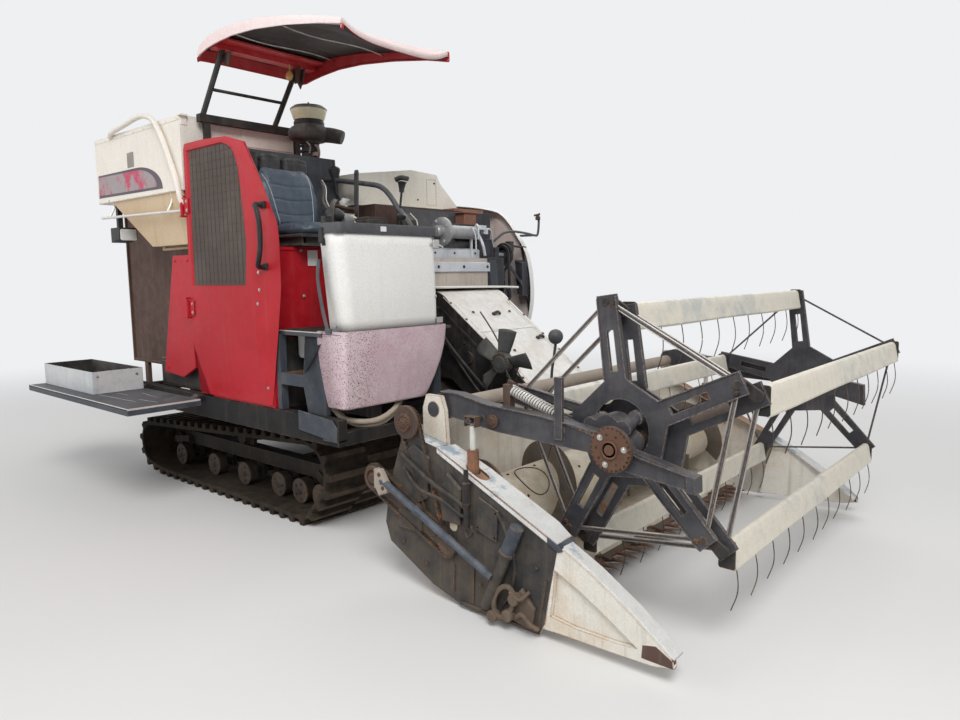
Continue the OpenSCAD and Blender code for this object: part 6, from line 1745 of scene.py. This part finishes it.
    # Flange and pipe beside the column, turned about one line
    line = (70, 0, 1500)
    pipe = [turned([(0, 88), (38, 88), (38, 343), (32, 345), (30, 330), (0, 330)], line, toLeft, 32),
            turned([(38, 60), (72, 62), (79, 66), (80, 72), (80, 84), (76, 88), (38, 90), (38, 60)], line, toLeft,
            44), turned([(0, 22), (26, 22), (32, 28), (34, 58), (44, 64), (0, 64)], line, toLeft, 28),
            turned([(0, -88), (9, -88), (9, 24), (0, 24)], line, toLeft, 14)]
    addPiece("pipe_flange", pipe, "machine", "brushedGrey", replaced=("front_pipe",))
    legs = [block(62, 78, y, y + 10, 1350, 1466, 1.5) for y in (-30, 320)]
    straps = [tube([(100, 300, 1530), (110, 318, 1480), (104, 330, 1400)], 5)]
    heads = scattered(boltHead(9, 7), [(70 + 64 * math.cos(t), 62, 1500 + 64 * math.sin(t)) for t in np.arange(4)
            * math.pi / 2 + 0.5], toRight)
    addPiece("pipe_legs", legs + straps + [heads], "machine", "silverSheet")
    box = [plate([(-60, 1392), (20, 1392), (20, 1440), (-10, 1560), (-60, 1600)], -150, -46, "xz", 5)]
    addPiece("pipe_cover", box, "machine", "blackIron", bevel=2)
    edge = tube([(-58, -46, 1602), (-8, -46, 1562), (22, -46, 1442)], 3.5, 8, False)
    addPiece("pipe_cover_edge", edge, "machine", "paleSteel")


# Left cover: its outline from the front foot over the top, x and z
coverShape = {
    "front": [(-60, 820), (0, 1090), (-30, 1360), (-130, 1530), (-250, 1660), (-400, 1715), (-720, 1740)],
    "back": [(-1650, 1740), (-1700, 1690), (-1700, 760), (-1600, 620), (-260, 620)],
    "outer": 1050, "inner": 753, "lip": 1002, "round": 16, "lined": "taupeInside",
}


# Rows across the rim: from its inner edge yIn(u) out to the rounded corner, inset by r (1 - cos t) and reaching out
# by r sin t.
def addLeftCover():
    c = coverShape
    front = smoothPath(c["front"], 7)
    loop = np.vstack([front, c["back"]])
    x, z = loop.T
    narrow = np.clip((x + 470) / 190, 0, 1)
    inner = c["inner"] + (c["lip"] - c["inner"]) * narrow * (z > 640)
    t = np.linspace(0, math.pi / 2, 5)
    rows = [np.column_stack([x, inner, z]), np.column_stack([x, np.maximum(inner + 2, 1004), z])]
    for a in t:
        q = insetLoop(loop, c["round"] * (1 - math.cos(a)))
        rows.append(np.column_stack([q[:, 0], np.full(len(q), c["outer"] - c["round"] + c["round"] * math.sin(a)),
                q[:, 1]]))
    for d, y in ((60, 1049.8), (66, 1046), (74, 1046)):
        q = insetLoop(loop, d)
        rows.append(np.column_stack([q[:, 0], np.full(len(q), y), q[:, 1]]))
    points, faces = grid(np.stack(rows), False, True)
    n = len(loop)
    faces.append(tuple(range((len(rows) - 1) * n, len(rows) * n)))
    cover = addPiece("left_cover_shell", (points, faces), "machine", "coverWhite", 40,
            replaced=("left_cover",))
    cover.data.materials.append(finishes[c["lined"]])
    thicken(cover, 5, inside=1)
    ribs = [sweep(rounded(-9, 9, -5, 5, 2, 1), [(-110, 1036, 1480), (-60, 1036, 1240), (-40, 1036, 1000)], toLeft),
            plate([(-70, 1120), (-20, 1110), (-24, 1330), (-90, 1350)], 940, 1040, "xz", 3),
            sweep(rounded(-10, 10, -4, 4, 2, 1), [(-90, 770, 1400), (-60, 860, 1300), (-30, 950, 1180),
            (-20, 1030, 1040)], toFront), tube([(-70, 900, 1440), (-68, 1036, 1432)], 8, 10, False),
            block(-100, -60, 850, 900, 1400, 1470, 4)]
    addPiece("cover_struts", ribs, "machine", "machinery", bevel=1)
    tab = [plate([(-120, 1405), (-60, 1405), (-78, 1330), (-100, 1330)], 842, 848, "xz", 1),
            plate([(-330, 1300), (-160, 1560), (-330, 1640)], 800, 806, "xz", 2)]
    addPiece("cover_tabs", tab, "machine", "taupeInside")
    heads = scattered(boltHead(9, 5), [(x, 1046, z) for x, z in ((-110, 1120), (-160, 1400), (-420, 1620),
            (-900, 1650), (-1600, 1640), (-1600, 720), (-900, 700), (-330, 700))], toLeft)
    vents = [block(x, x + 60, 1046, 1052, z, z + 8, 1.5) for x in range(-1450, -700, 90) for z in (1200, 1226, 1252)]
    addPiece("cover_bolts", [heads, *vents], "machine", "blackIron")
    stay = [tube([(0, 552, 1372), (0, 556, 1424), (0, 600, 1452), (-4, 690, 1500), (-6, 740, 1520), (-8, 830, 1530),
            (-30, 1000, 1524), (-55, 1120, 1516), (-60, 1158, 1520), (-60, 1172, 1560), (-60, 1178, 1640)], 8, 12),
            tube([(-310, 1064, 1500), (-280, 1080, 1512), (-180, 1120, 1518), (-55, 1124, 1517)], 8, 12),
            block(-14, 14, 540, 566, 1368, 1384, 3)]
    addPiece("mirror_tube", stay, "machine", "railGrey", replaced=("mirror_stay",))
    head = [block(-330, -290, 1050, 1080, 1480, 1520, 4),
            turned([(0, 0), (15, 0), (17, 4), (17, 20), (12, 26), (12, 38), (0, 40)], (-60, 1166, 1622), toTop, 14),
            sweep(circle(7, 8), [(-74, 1142, 1652), (-60, 1166, 1658), (-48, 1176, 1664)])]
    addPiece("mirror_head", head, "machine", "rustyIron", bevel=1)


# The lid's node with its seam, two pins and a handle of straight runs.
def addLid():
    softCopy("thresher_cover", "lidCream", 6)
    t = [(-300 + 1.2, y, z) for y, z in ((330, 1690), (330, 1846), (398, 1850), (412, 1842), (412, 1690))]
    seam = sweep(rounded(-1.2, 1.2, -2, 2, 0.6, 1), t, toFront, closed=True)
    knob = [turned([(0, 0), (5, 0), (6, 3), (4, 7), (0, 8)], (-300, 395, 1826), toFront, 12),
            turned([(0, 0), (5, 0), (6, 3), (4, 7), (0, 8)], (-300, 250, 1716), toFront, 12)]
    addPiece("lid_seam", seam, "lid", "seamPink")
    addPiece("lid_knobs", knob, "lid", "blackIron")
    handle = tube([(-1100, 596, 1720), (-1100, 622, 1735), (-1100, 622, 1760), (-1400, 622, 1760), (-1400, 622, 1735),
            (-1400, 596, 1720)], 7)
    addPiece("lid_handle", handle, "lid", "blackPlastic")


# The platform's nodes, with scrapes, pale edges, and the tray's inside tinted.
def addDeck():
    softCopy("deck", "deckPaint", 3)
    low, high = -1408, -1018
    scrapes = [plate([(x, y), (x + run, y + lean), (x + run, y + lean + 3), (x, y + 4)], 605.8, 606.5, "xy", 0.2)
            for x, y, run, lean in ((-1330, -1300, 420, 26), (-1180, -1120, 210, -14), (-980, -1230, 180, 20),
            (-1300, -1210, 120, 8))]
    addPiece("deck_scrapes", scrapes, "deck", "trayPaint")
    edge = [block(-2110, -700, low, low + 4, 600, 609, 1), block(-704, -699, low, high - 4, 600, 609, 1)]
    addPiece("deck_edge", edge, "deck", "paleSteel")
    tray = softCopy("deck_tray", "trayPaint", 2.5)
    tinted(tray, "lining", lambda c, n: (np.abs(c[:, 0] + 1715) < 367) & (np.abs(c[:, 1] + 1177) < 140)
            & (c[:, 2] < 734.5))
    heads = scattered(boltHead(7, 4), [(-1345, -1290, 706), (-1345, -1070, 700)], toFront)
    addPiece("tray_bolts", heads, "deck", "bareSteel")


# Wheels inside a track: x, z and the reach of the lug tips round them
trackShape = {"wheels": [(-60, 118, 118), (0, 285, 190), (-1690, 190, 172), (-1540, 118, 118)],
        "rollers": [-60, -240, -440, -790, -1130, -1540],
        "middle": 607, "roller": 118, "apart": 95, "outward": 25}


# A face is a lug's tip where n . c comes within 14 of the wheels' furthest reach along its normal n.
def addTracks():
    wheels = np.array(trackShape["wheels"], float)

    def atTips(c, n):
        reach = (n[:, [0]] * wheels[:, 0] + n[:, [2]] * wheels[:, 1] + wheels[:, 2]).max(1)
        return (np.abs(n[:, 1]) < 0.3) & (n[:, 0] * c[:, 0] + n[:, 2] * c[:, 2] > reach - 14)
    for node in ("track_left", "track_right"):
        piece = softCopy(node, "trackRubber", 4)
        # The lug tips turn lighter brown: dust and painted highlight
        tinted(piece, "lugDustAndHighlight", atTips)
    softCopy("track_wheels", "wheelIron", 3)
    rims, caps = [], []
    for s in (-1, 1):
        for x in trackShape["rollers"]:
            for e in (-1, 1):
                y = s * trackShape["middle"] + s * e * trackShape["apart"] + s * trackShape["outward"] - (0
                        if s > 0 else 6)
                rims.append(turned([(63, 0), (67, 0), (67, 6), (63, 6), (63, 0)], (x, y, trackShape["roller"]),
                        toLeft, 30))
                caps.append(turned([(0, 0), (20, 0), (24, 2), (24, 6), (0, 6)], (x, y + s * 1, trackShape["roller"]),
                        toLeft, 18))
                caps.append(scattered(boltHead(6, 5),
                        [(x + 40 * math.cos(t), y + (6 if s > 0 else 0), trackShape["roller"] + 40 * math.sin(t))
                        for t in np.arange(5) * 1.257], (0, s, 0)))
    addPiece("roller_rims", rims, "machine", "chain")
    addPiece("roller_caps", caps, "machine", "blackIron")
    softCopy("track_frames", "underPaint", 3)
    softCopy("chassis", "railPaint", 2.5)
    softCopy("transmission", "blackIron", 5)
    hoses = [tube([(300, -905, 652), (352, -880, 606), (404, -812, 588), (426, -730, 592), (420, -640, 622),
            (380, -560, 655)], 13), tube([(290, -880, 640), (340, -850, 590), (396, -790, 566), (410, -700, 572),
            (396, -600, 610), (360, -540, 640)], 13)]
    addPiece("skirt_hoses", hoses, "machine", "beigeHose")
    bracket = [plate([(150, 548), (430, 522), (436, 586), (400, 620), (150, 640)], -992, -984, "xz", 2),
            block(330, 430, -990, -930, 520, 528, 2)]
    addPiece("frame_corner", bracket, "machine", "stepPaint", bevel=1)


# Sheets from outlines in x and z, each between two values of y.
def addEngineSide():
    # Thin wall beside the seat, the full width only behind it, and the low part under the seat
    wall = [(-62, 620), (-48, 1400), (-48, 1560), (-130, 1730), (-225, 1885), (-375, 1920), (-775, 1920), (-775, 900),
            (-640, 620)]
    low = [(-62, 620), (-48, 1400), (-430, 1400), (-460, 1920), (-775, 1920), (-775, 900), (-640, 620)]
    sheets = [plate(wall, -976, -958, "xz", 3), plate([(-400, 1380), (-420, 1920), (-775, 1920), (-775, 1380)], -960,
            -880, "xz", 3), plate(low, -960, -245, "xz", 4)]
    for z in (1050, 1590):
        sheets += [block(-805, -790, -1022, -962, z + d, z + d + 10, 1) for d in (-12, 92)]
        sheets += [block(-791, -775, -972, -962, z + d, z + d + 10, 1) for d in (-12, 92)]
        sheets.append(turned([(0, -12), (4.5, -12), (4.5, 102), (0, 102)], (-795, -1012, z), toTop, 12))
    cover = addPiece("engine_housing", sheets, "machine", "redPaint", replaced=("engine_cover",))
    tinted(cover, "slatePanel", lambda c, n: (c[:, 0] > -470) & (c[:, 0] < -395) & (c[:, 2] > 1410) & (n[:, 0] > 0.5))
    # Housing under the tank, behind the door: red paint darkened to brown as painted shade, with dirt and rust
    sheet = [plate([(-2076, 706), (-1000, 706), (-1000, 1720), (-2076, 1720)], -752, -747, "xz", 1),
            block(-2078, -2072, -752, -236, 706, 1720, 1.5), block(-2076, -1000, -764, -752, 700, 718, 2),
            block(-2080, -2066, -766, -744, 700, 1720, 2)]
    posts = [block(x - 20, x + 20, -764, -736, 558, 710, 2) for x in (-1900, -1300)]
    addPiece("tank_housing", sheet + posts, "machine", "rustyBrownAndShade", bevel=1)
    box = [block(-1325, -830, -930, -770, 622, 790, 8), block(-1305, -850, -936, -930, 640, 770, 2),
            block(-1080, -830, -940, -640, 790, 800, 3), block(-1060, -1010, -880, -830, 800, 1300, 6)]
    addPiece("battery_box", box, "machine", "blackIron", bevel=2)
    softCopy("engine", "machinery", 8)
    softCopy("radiator", "blackIron", 3)
    pulleys = [turned([(0, 0), (20, 0), (24, 6), (60, 8), (72, 2), (76, 10), (72, 18), (60, 14), (24, 20), (0, 20)],
            (x, y, z), toRight, 36) for x, y, z in ((-400, -822, 800), (-250, -822, 950), (-560, -822, 960))]
    ports = [turned([(0, 0), (18, 0), (18, 60), (24, 64), (24, 90), (0, 92)], (x, -600, 1150), toTop, 14)
            for x in (-560, -480, -320, -240)]
    addPiece("engine_parts", pulleys + ports, "machine", "machinery", bevel=1)
    addPiece("cover_seams", block(-50, -43, -950, -260, 1384, 1392, 1), "machine", "redPaint", bevel=0.8)


addCamera()
addStudio()
addCanopy()
addDoor()
addHopper()
addColumn()
addSkirt()
print("body pieces ready")
addTable()
addDividers()
addBats()
addReel()
addReelArms()
addAuger()
addFan()
print("table and reel ready")
addSeat()
addIntake()
addLevers()
addSidePanel()
print("operator's place ready")
addFeeder()
addThresher()
addLeftCover()
addLid()
addDeck()
addTracks()
addEngineSide()
print("machine sides ready")
addCopies()
print("pieces ready")
